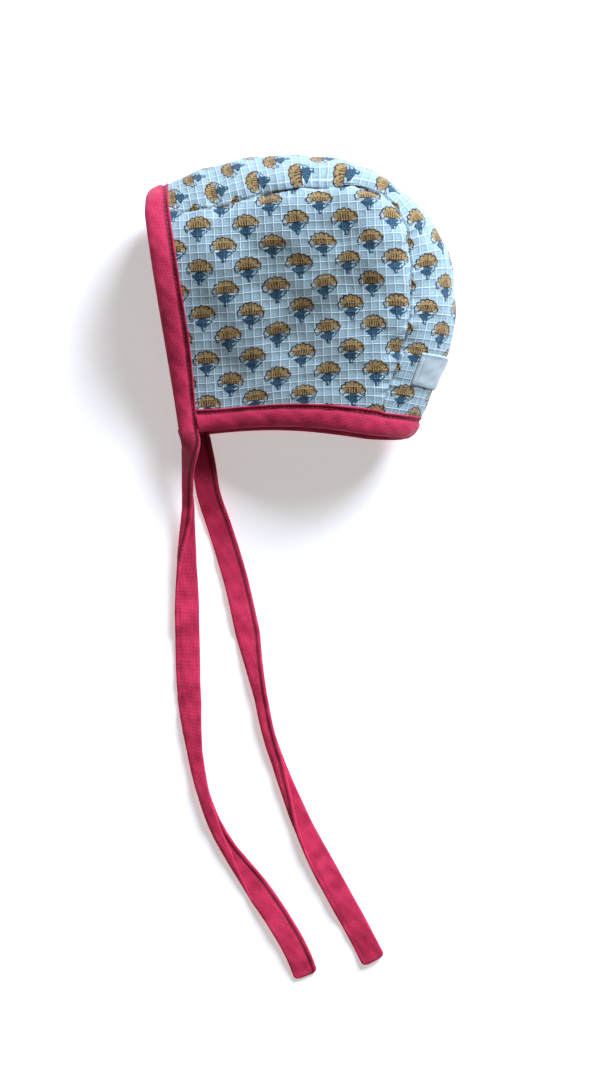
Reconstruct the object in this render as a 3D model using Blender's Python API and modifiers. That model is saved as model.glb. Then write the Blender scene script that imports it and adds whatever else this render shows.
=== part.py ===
"""Baby bonnet, lying on its right side on a flat surface.

Three cotton panels (two sides and a crown strip between them), a bias binding round the face
opening, another round the neck edge, two flat ties that carry the face binding on, and a small
bare label on the crown strip. +Z is up, the face opening looks to -X, the crown to +Y.
All lengths are in metres.
"""
import math
from collections import namedtuple

import bmesh
import bpy
from mathutils import Vector

# Outline of the cloth, seen from above as it lies
PROFILE_DEPTH = 0.158       # face edge to the back of the crown
PROFILE_HEIGHT = 0.144      # neck edge to the top of the crown
LYING_HEIGHT = 0.060        # surface to the raised side panel

# Cloth, bindings and their fit
CLOTH_WALL = 0.0014
BINDING_WALL = 0.0010
BINDING_SLACK = 0.0005      # between the cloth and the binding folded over it
BINDING_WIDTH = 0.0125      # visible width, from the fold to the lip
FIT_GAP = 0.0003            # between pieces that touch on the real bonnet
SEAM_GAP = 0.0006           # between the edges of two panels
FOLD_REACH = 0.0020         # how far a binding's fold stands out past the cloth edge

# Ties and label
TIE_WIDTH = 0.0126
TIE_THICKNESS = 0.0024
LABEL_ACROSS = 0.025        # along the curve of the crown strip
LABEL_ALONG = 0.016         # along the length of the crown strip
LABEL_THICKNESS = 0.0010

# How the cloth lies
SEAM_TURN = math.radians(62)      # slope angle of the strip's section at the raised seam
UNDER_TURN = math.radians(80)     # the same at the seam on the surface
UNDER_REACH = 0.026               # how far the strip runs in under the crown line
SHOULDER_LIMIT = 0.55             # steepest slope of the side panel at its seam
CORNER_SLOPE = 0.15               # slope of the side panel at the front corner
CORNER_SOFTNESS = 0.010           # radius over which that corner is rounded
PANEL_SAG = 0.0030                # dish in the middle of the raised side panel
NECK_BOW = 0.0040                 # the neck edge arches up between its ends
CORNER_CUT = 0.006                # the side panels stop this far from the front corner
FLAT_SHARE = 0.84                 # share of the lower side panel that lies flat
PUCKER_HEIGHT = 0.0011
PUCKER_COUNT = 11                 # along the seam, from face edge to neck edge
PUCKER_SPREAD = 0.009             # how far a pucker runs from the seam
SECOND_WAVE = 0.63                # count of a second row of puckers, as a share of the first's
SECOND_PHASE = 1.3
CREASE_SPREAD = 0.005             # half width of the groove along the seam

# From the face edge to the neck edge. Plan places are shares of PROFILE_DEPTH and
# PROFILE_HEIGHT, heights are shares of LYING_HEIGHT, and crease is the groove's depth
# as a share of CREASE_SPREAD.
Station = namedtuple("Station", "seam_x seam_y seam_z crown_x crown_y crown_z crease")
STATIONS = [
    Station(0.031, 0.784, 0.783, 0.028, 0.870, 0.417, 0.00),
    Station(0.217, 0.798, 0.833, 0.186, 0.948, 0.450, 0.25),
    Station(0.426, 0.857, 0.867, 0.402, 0.995, 0.467, 0.50),
    Station(0.643, 0.887, 0.883, 0.662, 0.977, 0.483, 0.60),
    Station(0.803, 0.808, 0.900, 0.842, 0.857, 0.483, 0.35),
    Station(0.848, 0.630, 0.917, 0.973, 0.668, 0.500, 0.35),
    Station(0.842, 0.404, 0.900, 0.994, 0.400, 0.483, 0.35),
    Station(0.792, 0.215, 0.850, 0.928, 0.195, 0.467, 0.25),
    Station(0.727, 0.034, 0.783, 0.864, 0.022, 0.433, 0.00),
]
# The front corner of the raised side panel and of the one on the surface, as the same shares
RAISED_CORNER = (0.129, 0.047, 0.383)
LOWER_CORNER = (0.142, 0.044, 0.0)

# Soft dents in the raised side panel. reach runs from the front corner to the seam, along from
# face edge to neck edge, size is a share of PROFILE_DEPTH and depth a share of LYING_HEIGHT.
Dent = namedtuple("Dent", "reach along size depth")
DENTS = [
    Dent(0.84, 0.42, 0.090, 0.030),
    Dent(0.80, 0.90, 0.080, 0.035),
    Dent(0.55, 0.55, 0.160, 0.020),
    Dent(0.72, 0.12, 0.080, -0.018),
    Dent(0.90, 0.66, 0.100, -0.020),
]

# Each tie's route from the corner of the face binding, chosen by hand: x, y, z and the share
# of its width that shows, which is half where the tie turns over on itself
RoutePoint = namedtuple("RoutePoint", "x y z width")
TIE_ROUTES = {
    "tie_left": [
        RoutePoint(-0.0557, -0.0850, 0.0160, 0.74),
        RoutePoint(-0.0564, -0.1002, 0.0105, 0.55),
        RoutePoint(-0.0573, -0.1236, 0.0060, 0.75),
        RoutePoint(-0.0574, -0.1462, 0.0036, 0.95),
        RoutePoint(-0.0572, -0.1719, 0.0018, 1.05),
        RoutePoint(-0.0564, -0.1975, 0.0018, 0.98),
        RoutePoint(-0.0535, -0.2281, 0.0024, 0.62),
        RoutePoint(-0.0493, -0.2486, 0.0028, 0.44),
        RoutePoint(-0.0438, -0.2650, 0.0026, 0.44),
        RoutePoint(-0.0354, -0.2800, 0.0020, 0.60),
        RoutePoint(-0.0228, -0.2976, 0.0014, 0.92),
        RoutePoint(-0.0108, -0.3151, 0.0014, 1.00),
        RoutePoint(-0.0016, -0.3311, 0.0014, 0.98),
        RoutePoint(0.0038, -0.3444, 0.0014, 0.90),
    ],
    "tie_right": [
        RoutePoint(-0.0488, -0.0826, 0.0018, 0.98),
        RoutePoint(-0.0462, -0.0975, 0.0016, 0.95),
        RoutePoint(-0.0411, -0.1129, 0.0014, 0.98),
        RoutePoint(-0.0362, -0.1283, 0.0014, 1.05),
        RoutePoint(-0.0318, -0.1437, 0.0014, 1.05),
        RoutePoint(-0.0272, -0.1642, 0.0014, 0.92),
        RoutePoint(-0.0236, -0.1821, 0.0018, 0.76),
        RoutePoint(-0.0197, -0.2000, 0.0024, 0.56),
        RoutePoint(-0.0154, -0.2205, 0.0028, 0.46),
        RoutePoint(-0.0103, -0.2359, 0.0026, 0.52),
        RoutePoint(-0.0044, -0.2514, 0.0022, 0.64),
        RoutePoint(0.0020, -0.2668, 0.0018, 0.80),
        RoutePoint(0.0113, -0.2859, 0.0014, 0.96),
        RoutePoint(0.0218, -0.3054, 0.0014, 1.00),
        RoutePoint(0.0303, -0.3208, 0.0014, 1.00),
        RoutePoint(0.0385, -0.3367, 0.0014, 0.92),
    ],
}
TIE_LEAD = 0.005            # straight run of a tie out of the binding

# Where the label sits on the crown strip, as shares across and along it
LABEL_CENTRE = (0.32, 0.852)

# Grid cells
REACH_CELLS = 13            # of a side panel, from its front corner to the seam
ACROSS_CELLS = 12           # of the crown strip, from seam to seam
ALONG_CELLS = 36            # of all three panels, from face edge to neck edge
TIE_CELLS = 52
LABEL_CELLS = (8, 4)
SHARP_ANGLE = math.radians(50)

# Small steps by which the slope of a surface is measured, in lengths and in shares
PLAN_STEP = 0.0006
FOLD_STEP = 0.002
STRIP_STEP = 0.003
EDGE_STEP = 0.01
ROUTE_STEP = 0.002

# Colours (linear), roughness
COLOURS = {
    "side_panel_left": ((0.55, 0.68, 0.72, 1.0), 0.85),
    "side_panel_right": ((0.55, 0.68, 0.72, 1.0), 0.85),
    "crown_strip": ((0.60, 0.73, 0.78, 1.0), 0.85),
    "face_binding": ((0.50, 0.03, 0.10, 1.0), 0.75),
    "neck_binding": ((0.50, 0.03, 0.10, 1.0), 0.75),
    "tie_left": ((0.56, 0.04, 0.12, 1.0), 0.75),
    "tie_right": ((0.56, 0.04, 0.12, 1.0), 0.75),
    "side_label": ((0.62, 0.68, 0.70, 1.0), 0.70),
}

UP = Vector((0.0, 0.0, 1.0))
PLAN_CORNER = Vector((-0.5 * PROFILE_DEPTH, -0.5 * PROFILE_HEIGHT, 0.0))
LIP_DEPTH = BINDING_WIDTH - FOLD_REACH
BINDING_LIFT = BINDING_SLACK + BINDING_WALL   # the cloth lies this high where a binding is under it


def place(shares):
    x, y, z = shares
    return PLAN_CORNER + Vector((x * PROFILE_DEPTH, y * PROFILE_HEIGHT, z * LYING_HEIGHT))


def smooth_step(value):
    value = min(1.0, max(0.0, value))
    return value * value * (3.0 - 2.0 * value)


def smooth_row(rows, position):
    """Values between the rows of a table, at position 0 to 1, on a smooth curve."""
    scaled = position * (len(rows) - 1)
    first = min(len(rows) - 2, max(0, int(math.floor(scaled))))
    part = scaled - first
    before = rows[first - 1] if first > 0 else [2 * a - b for a, b in zip(rows[0], rows[1])]
    after = (rows[first + 2] if first + 2 < len(rows)
             else [2 * a - b for a, b in zip(rows[-1], rows[-2])])
    values = []
    for p0, p1, p2, p3 in zip(before, rows[first], rows[first + 1], after):
        values.append(0.5 * (2 * p1 + (p2 - p0) * part
                             + (2 * p0 - 5 * p1 + 4 * p2 - p3) * part ** 2
                             + (3 * p1 - p0 - 3 * p2 + p3) * part ** 3))
    return values


def flat(vector):
    return Vector((vector.x, vector.y, 0.0))


class Section:
    """The crown strip's half-round section at one place along it."""

    def __init__(self, along):
        row = Station(*smooth_row(STATIONS, along))
        self.along = along
        self.seam = place((row.seam_x, row.seam_y, row.seam_z))
        self.crown = place((row.crown_x, row.crown_y, row.crown_z))
        self.crease = row.crease * CREASE_SPREAD
        reach = flat(self.crown - self.seam)
        self.outward = reach.normalized()
        self.half_depth = reach.length / (1.0 - math.cos(SEAM_TURN))
        self.half_height = (self.seam.z - self.crown.z) / math.sin(SEAM_TURN)
        self.edge_lift = BINDING_LIFT * edge_share(along)
        self.lower_seam = self.point(1.0)

    def turn(self, across):
        return SEAM_TURN - across * (SEAM_TURN + UNDER_TURN)

    def point(self, across):
        angle = self.turn(across)
        if angle >= 0.0:
            inward = self.half_depth * (1.0 - math.cos(angle))
            height = self.crown.z + self.half_height * math.sin(angle)
        else:
            inward = UNDER_REACH * (1.0 - math.cos(angle))
            height = self.edge_lift + (self.crown.z - self.edge_lift) * (1.0 + math.sin(angle))
        return flat(self.crown) - self.outward * inward + UP * height

    def seam_normal(self):
        slope = Vector((math.cos(SEAM_TURN) / self.half_depth,
                        math.sin(SEAM_TURN) / self.half_height)).normalized()
        return self.outward * slope.x + UP * slope.y

    def shoulder_slope(self):
        slope = self.half_height / self.half_depth / math.tan(SEAM_TURN)
        return -min(SHOULDER_LIMIT, slope)


def seam_length():
    """Length of the raised seam, measured from station to station."""
    corners = [place((row.seam_x, row.seam_y, row.seam_z)) for row in STATIONS]
    return sum((b - a).length for a, b in zip(corners, corners[1:]))


SEAM_LENGTH = seam_length()


def bound_share(distance):
    """1 under a binding, fading to 0 over one more width, by the distance from a bound edge."""
    return 1.0 - smooth_step((distance - BINDING_WIDTH) / BINDING_WIDTH)


def edge_share(along):
    return bound_share(min(along, 1.0 - along) * SEAM_LENGTH)


def seam_relief(section, distance):
    """Puckers and groove near the raised seam, measured outward."""
    fade = 1.0 - edge_share(section.along)
    wave = math.sin(2 * math.pi * PUCKER_COUNT * section.along)
    second = math.sin(2 * math.pi * SECOND_WAVE * PUCKER_COUNT * section.along + SECOND_PHASE)
    pucker = PUCKER_HEIGHT * fade * (0.6 * wave + 0.4 * second)
    pucker *= math.exp(-(distance / PUCKER_SPREAD) ** 2)
    groove = section.crease * math.exp(-(distance / CREASE_SPREAD) ** 2)
    return pucker - groove


def strip_point(across, along):
    section = Section(along)
    point = section.point(across)
    distance = (point - section.seam).length
    fade = smooth_step(1.0 - 2.0 * across)
    return point + section.seam_normal() * seam_relief(section, distance) * fade


class SidePanel:
    """One side panel as a fan of rays from its front corner to its seam."""

    SAMPLES = 96

    def __init__(self, corner, raised):
        self.corner = place(corner)
        self.raised = raised
        self.alongs = [i / self.SAMPLES for i in range(self.SAMPLES + 1)]
        self.angles = []
        for along in self.alongs:
            ray = self.seam_at(Section(along)) - self.corner
            self.angles.append(math.atan2(ray.y, ray.x))

    def seam_at(self, section):
        return section.seam if self.raised else section.lower_seam

    def along_of(self, x, y):
        angle = math.atan2(y - self.corner.y, x - self.corner.x)
        if angle >= self.angles[0] or angle < -0.5 * math.pi:
            return 0.0
        if angle <= self.angles[-1]:
            return 1.0
        low, high = 0, self.SAMPLES
        while high - low > 1:
            middle = (low + high) // 2
            if self.angles[middle] >= angle:
                low = middle
            else:
                high = middle
        part = (self.angles[low] - angle) / (self.angles[low] - self.angles[high])
        return (low + part) / self.SAMPLES

    def point(self, x, y):
        """Outer face of the cloth over a place of its plan, before the neck edge is bowed."""
        along = self.along_of(x, y)
        section = Section(along)
        seam = self.seam_at(section)
        radius = flat(seam - self.corner).length
        run = math.hypot(x - self.corner.x, y - self.corner.y)
        reach = run / radius
        bow = NECK_BOW * math.sin(math.pi * min(1.0, reach)) * along ** 4
        if not self.raised:
            return Vector((x, y + bow, self.lower_height(x, y, section, reach)))
        relief = seam_relief(section, max(0.0, radius - run))
        free = 1.0 - bound_share(min(self.edge_distances(x, y)))
        height = self.raised_height(section, run, radius, reach, free)
        return Vector((x, y + bow, height)) + section.seam_normal() * relief

    def raised_height(self, section, run, radius, reach, free):
        softened = math.hypot(run, CORNER_SOFTNESS) - CORNER_SOFTNESS
        full = math.hypot(radius, CORNER_SOFTNESS) - CORNER_SOFTNESS
        t = softened / full
        height = ((2 * t ** 3 - 3 * t ** 2 + 1) * self.corner.z
                  + (t ** 3 - 2 * t ** 2 + t) * radius * CORNER_SLOPE
                  + (3 * t ** 2 - 2 * t ** 3) * section.seam.z
                  + (t ** 3 - t ** 2) * radius * section.shoulder_slope())
        inside = math.sin(math.pi * min(1.0, reach)) * math.sin(math.pi * section.along)
        height -= PANEL_SAG * inside ** 2
        spread = self.angles[0] - self.angles[-1]
        for dent in DENTS:
            aside = (section.along - dent.along) * spread * run
            offset = math.hypot((reach - dent.reach) * radius, aside)
            share = math.exp(-(offset / (dent.size * PROFILE_DEPTH)) ** 2)
            height -= dent.depth * LYING_HEIGHT * share * free
        return height

    def edge_distances(self, x, y):
        """Distance in plan from the face edge and from the neck edge."""
        offset = Vector((x, y, 0.0)) - flat(self.corner)
        face = Vector((math.cos(self.angles[0]), math.sin(self.angles[0]), 0.0))
        neck = Vector((math.cos(self.angles[-1]), math.sin(self.angles[-1]), 0.0))
        return abs(face.cross(offset).z), abs(neck.cross(offset).z)

    def lower_height(self, x, y, section, reach):
        lift = BINDING_LIFT * bound_share(min(self.edge_distances(x, y)))
        rise = section.lower_seam.z * max(0.0, (reach - FLAT_SHARE) / (1.0 - FLAT_SHARE)) ** 2
        return max(lift, rise)

    def grid_run(self, share, along):
        """Distance from the front corner of a place on the panel's grid."""
        length = flat(self.seam_at(Section(along)) - self.corner).length
        return CORNER_CUT + share * (length - 0.5 * SEAM_GAP - CORNER_CUT)

    def grid_point(self, share, along):
        ray = flat(self.seam_at(Section(along)) - self.corner).normalized()
        plan = flat(self.corner) + ray * self.grid_run(share, along)
        return self.point(plan.x, plan.y)

    def edge_place(self, edge, run, depth):
        """Outer face at a run along the face (0) or neck (1) edge and a depth in from it."""
        along_edge = self.edge_ray(edge)
        inward = self.inward(edge, run / along_edge.length)
        plan = flat(self.corner) + along_edge.normalized() * run + inward * depth
        return self.point(plan.x, plan.y)

    def edge_ray(self, edge):
        return flat(self.seam_at(Section(edge)) - self.corner)

    def inward(self, edge, share):
        """Turns from the direction of the other edge, at the corner, to that of the seam."""
        other = self.edge_ray(1 - edge).normalized()
        step = 2 * EDGE_STEP if edge == 0 else -2 * EDGE_STEP
        seam = flat(self.seam_at(Section(edge + step)) - self.seam_at(Section(edge)))
        blend = smooth_step(share)
        mixed = (other * (1.0 - blend) + seam.normalized() * blend).normalized()
        across = self.edge_ray(edge).normalized()
        return mixed / abs(across.cross(mixed).z)


def surface_normal(surface, first, second, step):
    """Unit normal of a surface function by small steps."""
    along_first = surface(first + step, second) - surface(first - step, second)
    along_second = surface(first, second + step) - surface(first, second - step)
    return along_first.cross(along_second).normalized()


def panel_frame(panel, edge, run, depth):
    """Outer face and outward normal of a side panel beside one of its bound edges."""
    point = panel.edge_place(edge, run, max(0.0, depth))
    normal = surface_normal(panel.point, point.x, point.y, PLAN_STEP)
    if (normal.z > 0.0) != panel.raised:
        normal.negate()
    return point, normal


def strip_normal(across, along):
    """Outward normal of the crown strip, away from the middle of its half-round section."""
    section = Section(along)
    middle = flat(section.crown) - section.outward * UNDER_REACH + UP * section.crown.z
    normal = surface_normal(strip_point, across, along, STRIP_STEP)
    if normal.dot(strip_point(across, along) - middle) < 0.0:
        normal.negate()
    return normal


def strip_frame(across, edge, depth):
    """Outer face and outward normal of the crown strip beside one of its bound edges."""
    step = EDGE_STEP if edge == 0 else -EDGE_STEP
    per_share = (strip_point(across, edge + step) - strip_point(across, edge)).length / abs(step)
    share = max(0.0, depth) / per_share
    along = share if edge == 0 else 1.0 - share
    return strip_point(across, along), strip_normal(across, along)


def binding_profile():
    """Depth in from the cloth edge and height from the cloth's middle, round the fold."""
    half = 0.5 * CLOTH_WALL + BINDING_SLACK + BINDING_WALL
    upper = [(LIP_DEPTH, half), (0.45 * LIP_DEPTH, half), (0.0, half),
             (-0.75 * FOLD_REACH, 0.67 * half)]
    lower = [(depth, -height) for depth, height in reversed(upper)]
    return upper + [(-FOLD_REACH, 0.0)] + lower


def binding_stations(edge, panels):
    """Frames along a binding: up the raised panel, over the strip, back on the lower panel.

    They stand at the panels' own grid lines, so that cloth and binding bend at the same places.
    """
    raised, lower = panels
    first_run = LIP_DEPTH + FIT_GAP if edge == 1 else -FOLD_REACH

    def panel_stations(panel):
        runs = [first_run]
        for column in range(REACH_CELLS):
            run = panel.grid_run(column / REACH_CELLS, edge)
            if run > first_run + 0.5 * FOLD_REACH:
                runs.append(run)
        return [lambda depth, run=run: panel_frame(panel, edge, run, depth) for run in runs]

    def seam_station(panel, across):
        def frame(depth):
            point, normal = panel_frame(panel, edge, panel.edge_ray(edge).length, depth)
            other_point, other_normal = strip_frame(across, edge, depth)
            return point.lerp(other_point, 0.5), (normal + other_normal).normalized()
        return frame

    stations = panel_stations(raised)
    stations.append(seam_station(raised, 0.0))
    for column in range(1, ACROSS_CELLS):
        across = column / ACROSS_CELLS
        stations.append(lambda depth, across=across: strip_frame(across, edge, depth))
    stations.append(seam_station(lower, 1.0))
    stations += reversed(panel_stations(lower))
    return stations


def binding_point(station, depth, height):
    point, normal = station(depth)
    if depth < 0.0:
        ahead, _ = station(FOLD_STEP)
        point = point + (ahead - point).normalized() * depth
    return point + normal * (height - 0.5 * CLOTH_WALL)


def grid_object(name, columns, rows, surface, thickness, flip):
    """A grid laid on a surface function, which is given shares 0 to 1, thickened inward."""
    mesh = bpy.data.meshes.new(name)
    work = bmesh.new()
    bmesh.ops.create_grid(work, x_segments=columns, y_segments=rows, size=1.0)
    for vertex in work.verts:
        vertex.co = surface(0.5 * (vertex.co.x + 1.0), 0.5 * (vertex.co.y + 1.0))
    if flip:
        bmesh.ops.reverse_faces(work, faces=work.faces)
    work.to_mesh(mesh)
    work.free()
    mesh.shade_smooth()
    mesh.set_sharp_from_angle(angle=SHARP_ANGLE)
    part = bpy.data.objects.new(name, mesh)
    thicken = part.modifiers.new("Cloth thickness", "SOLIDIFY")
    thicken.thickness = thickness
    thicken.offset = -1.0
    thicken.use_even_offset = True
    return part


def cloth_material(name):
    colour, roughness = COLOURS[name]
    material = bpy.data.materials.new(name)
    material.use_nodes = True
    shader = material.node_tree.nodes["Principled BSDF"]
    shader.inputs["Base Color"].default_value = colour
    shader.inputs["Roughness"].default_value = roughness
    shader.inputs["Metallic"].default_value = 0.0
    return material


def side_panel(name, panel):
    return grid_object(name, REACH_CELLS, ALONG_CELLS, panel.grid_point, CLOTH_WALL, panel.raised)


def crown_strip():
    width = 0.5 * SEAM_GAP / (UNDER_REACH + LYING_HEIGHT)

    def surface(across, along):
        return strip_point(width + across * (1.0 - 2.0 * width), along)

    return grid_object("crown_strip", ACROSS_CELLS, ALONG_CELLS, surface, CLOTH_WALL, True)


def edge_binding(name, edge, panels):
    stations = binding_stations(edge, panels)
    profile = binding_profile()

    def surface(around, length):
        index = round(length * (len(stations) - 1))
        depth, height = profile[round(around * (len(profile) - 1))]
        return binding_point(stations[index], depth, height)

    return grid_object(name, len(profile) - 1, len(stations) - 1, surface, BINDING_WALL, edge == 0)


def tie_start(panel):
    """Middle of the face binding's end, the direction it points in and the way across it."""
    end_run = -FOLD_REACH - FIT_GAP
    middle_depth = 0.5 * (LIP_DEPTH - FOLD_REACH)
    point, normal = panel_frame(panel, 0, end_run, middle_depth)
    across = panel.edge_place(0, end_run, LIP_DEPTH) - panel.edge_place(0, end_run, 0.0)
    direction = (-panel.edge_ray(0)).normalized()
    direction = (direction - normal * direction.dot(normal)).normalized()
    return point - normal * 0.5 * CLOTH_WALL, direction, across.normalized()


def tie(name, panel):
    start, direction, start_side = tie_start(panel)
    lead = start + direction * TIE_LEAD
    if not panel.raised:
        lead.z = TIE_ROUTES[name][0].z
    rows = [(start.x, start.y, start.z, 1.0), (lead.x, lead.y, lead.z, 1.0)]
    rows += [tuple(row) for row in TIE_ROUTES[name]]

    def centre(share):
        return Vector(smooth_row(rows, share)[:3])

    def surface(across, share):
        width = TIE_WIDTH * smooth_row(rows, share)[3]
        tangent = (centre(share + ROUTE_STEP) - centre(share - ROUTE_STEP)).normalized()
        at_end = 1.0 - smooth_step(share * (len(rows) - 1))
        side = UP.cross(tangent).normalized().lerp(start_side, at_end)
        face = tangent.cross(side).normalized()
        return centre(share) + side * width * (across - 0.5) + face * 0.5 * TIE_THICKNESS

    return grid_object(name, 1, TIE_CELLS, surface, TIE_THICKNESS, True)


def side_label():
    centre_across, centre_along = LABEL_CENTRE
    centre = strip_point(centre_across, centre_along)
    per_across = (strip_point(centre_across + EDGE_STEP, centre_along) - centre).length / EDGE_STEP
    per_along = (strip_point(centre_across, centre_along + EDGE_STEP) - centre).length / EDGE_STEP
    span = (LABEL_ACROSS / per_across, LABEL_ALONG / per_along)

    def surface(across, along):
        place_across = centre_across + (across - 0.5) * span[0]
        place_along = centre_along + (along - 0.5) * span[1]
        outward = strip_normal(place_across, place_along)
        return strip_point(place_across, place_along) + outward * (FIT_GAP + LABEL_THICKNESS)

    return grid_object("side_label", *LABEL_CELLS, surface, LABEL_THICKNESS, True)


def clear_scene():
    for item in list(bpy.data.objects):
        bpy.data.objects.remove(item, do_unlink=True)


def bounds_of(parts):
    """Lowest and highest corner of the parts as their modifiers leave them."""
    graph = bpy.context.evaluated_depsgraph_get()
    points = []
    for part in parts:
        evaluated = part.evaluated_get(graph)
        points += [evaluated.matrix_world @ vertex.co for vertex in evaluated.data.vertices]
    low = Vector([min(point[axis] for point in points) for axis in range(3)])
    high = Vector([max(point[axis] for point in points) for axis in range(3)])
    return low, high


def main():
    clear_scene()
    panels = (SidePanel(RAISED_CORNER, True), SidePanel(LOWER_CORNER, False))
    bonnet = [
        side_panel("side_panel_left", panels[0]),
        side_panel("side_panel_right", panels[1]),
        crown_strip(),
        edge_binding("face_binding", 0, panels),
        edge_binding("neck_binding", 1, panels),
        side_label(),
    ]
    ties = [tie("tie_left", panels[0]), tie("tie_right", panels[1])]
    collection = bpy.data.collections.new("baby_bonnet")
    bpy.context.scene.collection.children.link(collection)
    base = bpy.data.objects.new("bonnet_base", None)
    collection.objects.link(base)
    for part in bonnet + ties:
        part.data.materials.append(cloth_material(part.name))
        collection.objects.link(part)
        part.parent = base
    bpy.context.view_layer.update()
    low, high = bounds_of(bonnet)
    base.location = (-0.5 * (low.x + high.x), -0.5 * (low.y + high.y), -low.z)
    bpy.context.view_layer.update()


main()
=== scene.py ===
import math

import bpy
import numpy as np
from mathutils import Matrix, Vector


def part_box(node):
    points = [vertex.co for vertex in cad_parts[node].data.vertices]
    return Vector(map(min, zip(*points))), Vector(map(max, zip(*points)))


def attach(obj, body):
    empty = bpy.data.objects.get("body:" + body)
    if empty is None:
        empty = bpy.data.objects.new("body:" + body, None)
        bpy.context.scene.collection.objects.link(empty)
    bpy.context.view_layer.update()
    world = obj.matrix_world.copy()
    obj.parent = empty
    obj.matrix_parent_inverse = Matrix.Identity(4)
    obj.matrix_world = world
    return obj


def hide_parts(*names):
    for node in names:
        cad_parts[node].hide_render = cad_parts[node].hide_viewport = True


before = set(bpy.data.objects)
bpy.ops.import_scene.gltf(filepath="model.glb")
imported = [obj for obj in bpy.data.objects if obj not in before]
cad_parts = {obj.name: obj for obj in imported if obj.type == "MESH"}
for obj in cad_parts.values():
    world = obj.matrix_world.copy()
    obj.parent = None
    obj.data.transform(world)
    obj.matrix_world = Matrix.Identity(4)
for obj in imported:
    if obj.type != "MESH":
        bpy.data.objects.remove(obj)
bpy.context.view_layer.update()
print("frame loaded:", ", ".join(sorted(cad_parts)))

mm = 0.001
up = np.array((0.0, 0.0, 1.0))

# The photograph's frame, straight above: half a millimetre a pixel at the height of the outline
photo = {
    "cameraHeight": 1.1,
    "centre": (-0.00063, -0.11753),
    "outlineHeight": 0.030,
    "halfImage": 0.2665,             # half of the picture's long side, at outlineHeight
}


def placeCamera():
    data = bpy.data.cameras.new("overhead_camera")
    reach = photo["cameraHeight"] - photo["outlineHeight"]
    data.lens = 0.5 * data.sensor_width * reach / photo["halfImage"]
    data.clip_start = 0.05
    camera = bpy.data.objects.new("overhead_camera", data)
    camera.location = (*photo["centre"], photo["cameraHeight"])
    bpy.context.scene.collection.objects.link(camera)
    bpy.context.scene.camera = camera


placeCamera()
print("camera placed")


# Small tools for arrays of points
def smoothStep(value):
    value = np.clip(value, 0.0, 1.0)
    return value * value * (3.0 - 2.0 * value)


def smoothRows(rows, position):      # between a table's rows on a smooth curve, position 0 to 1
    rows = np.asarray(rows, float)
    padded = np.vstack([2 * rows[0] - rows[1], rows, 2 * rows[-1] - rows[-2]])
    scaled = np.asarray(position, float) * (len(rows) - 1)
    first = np.clip(np.floor(scaled).astype(int), 0, len(rows) - 2)
    part = (scaled - first)[..., None]
    p0, p1, p2, p3 = (padded[first + step] for step in range(4))
    return 0.5 * (2 * p1 + (p2 - p0) * part + (2 * p0 - 5 * p1 + 4 * p2 - p3) * part ** 2
                  + (3 * p1 - p0 - 3 * p2 + p3) * part ** 3)


def unit(vectors):
    return vectors / np.maximum(np.linalg.norm(vectors, axis=-1, keepdims=True), 1e-12)


def flat(vectors):
    return vectors * (1.0, 1.0, 0.0)


def runningLength(points):           # along the first axis, starting at 0
    steps = np.linalg.norm(np.diff(points, axis=0), axis=-1)
    return np.concatenate([np.zeros_like(steps[:1]), np.cumsum(steps, axis=0)])


def ripples(rows, x, y=0.0):         # a sum of waves, each of (length mm, direction, phase, height mm)
    total = 0.0
    for length, direction, phase, height in rows:
        turn = math.radians(direction)
        run = (x * math.cos(turn) + y * math.sin(turn)) / (length * mm)
        total = total + height * mm * np.sin(2 * math.pi * run + phase)
    return total


def bump(value, middle, halfWidth):
    return np.exp(-((value - middle) / halfWidth) ** 2)


def spot(first, second, middles, halfWidths):    # a bump in two directions
    return bump(first, middles[0], halfWidths[0]) * bump(second, middles[1], halfWidths[1])


# The bonnet's form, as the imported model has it
shape = {
    "size": np.array((0.158, 0.144, 0.060)),     # depth, height and lying height
    "seamTurn": math.radians(62),                # slope of the strip's section at the raised seam
    "underTurn": math.radians(80),
    "underReach": 0.026,
    "shoulderLimit": 0.60,                       # blended in softly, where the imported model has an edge
    "cornerSlope": 0.15,
    "cornerSoftness": 0.010,
    "panelSag": 0.0030,
    "neckBow": 0.0040,
    "flatShare": 0.84,
    "cloth": 0.0014,
    "bindingWidth": 0.0125,
    "foldReach": 0.0020,
    "bindingLift": 0.0015,
    "fitGap": 0.0003,
}
lipDepth = shape["bindingWidth"] - shape["foldReach"]

# seam x, y, z and crown x, y, z as shares of the size, and the depth of the groove at the seam
stations = [
    (0.031, 0.784, 0.783, 0.028, 0.870, 0.417, 0.00),
    (0.217, 0.798, 0.833, 0.186, 0.948, 0.450, 0.25),
    (0.426, 0.857, 0.867, 0.402, 0.995, 0.467, 0.50),
    (0.643, 0.887, 0.883, 0.662, 0.977, 0.483, 0.60),
    (0.803, 0.808, 0.900, 0.842, 0.857, 0.483, 0.35),
    (0.848, 0.630, 0.917, 0.973, 0.668, 0.500, 0.35),
    (0.842, 0.404, 0.900, 0.994, 0.400, 0.483, 0.35),
    (0.792, 0.215, 0.850, 0.928, 0.195, 0.467, 0.25),
    (0.727, 0.034, 0.783, 0.864, 0.022, 0.433, 0.00),
]
# reach from the front corner, place along the seam, size as a share of the depth, depth of the dent
dents = [
    (0.84, 0.42, 0.090, 0.030),
    (0.80, 0.90, 0.080, 0.035),
    (0.55, 0.55, 0.160, 0.020),
    (0.72, 0.12, 0.080, -0.018),
    (0.90, 0.66, 0.100, -0.020),
]
puckers = {"height": 1.1 * mm, "count": 11, "spread": 9 * mm, "secondWave": 0.63, "secondPhase": 1.3,
           "creaseSpread": 5 * mm}
planCorner = np.array((-0.5 * shape["size"][0], -0.5 * shape["size"][1], 0.0))


def planPlace(shares):
    return planCorner + shares * shape["size"]


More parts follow.
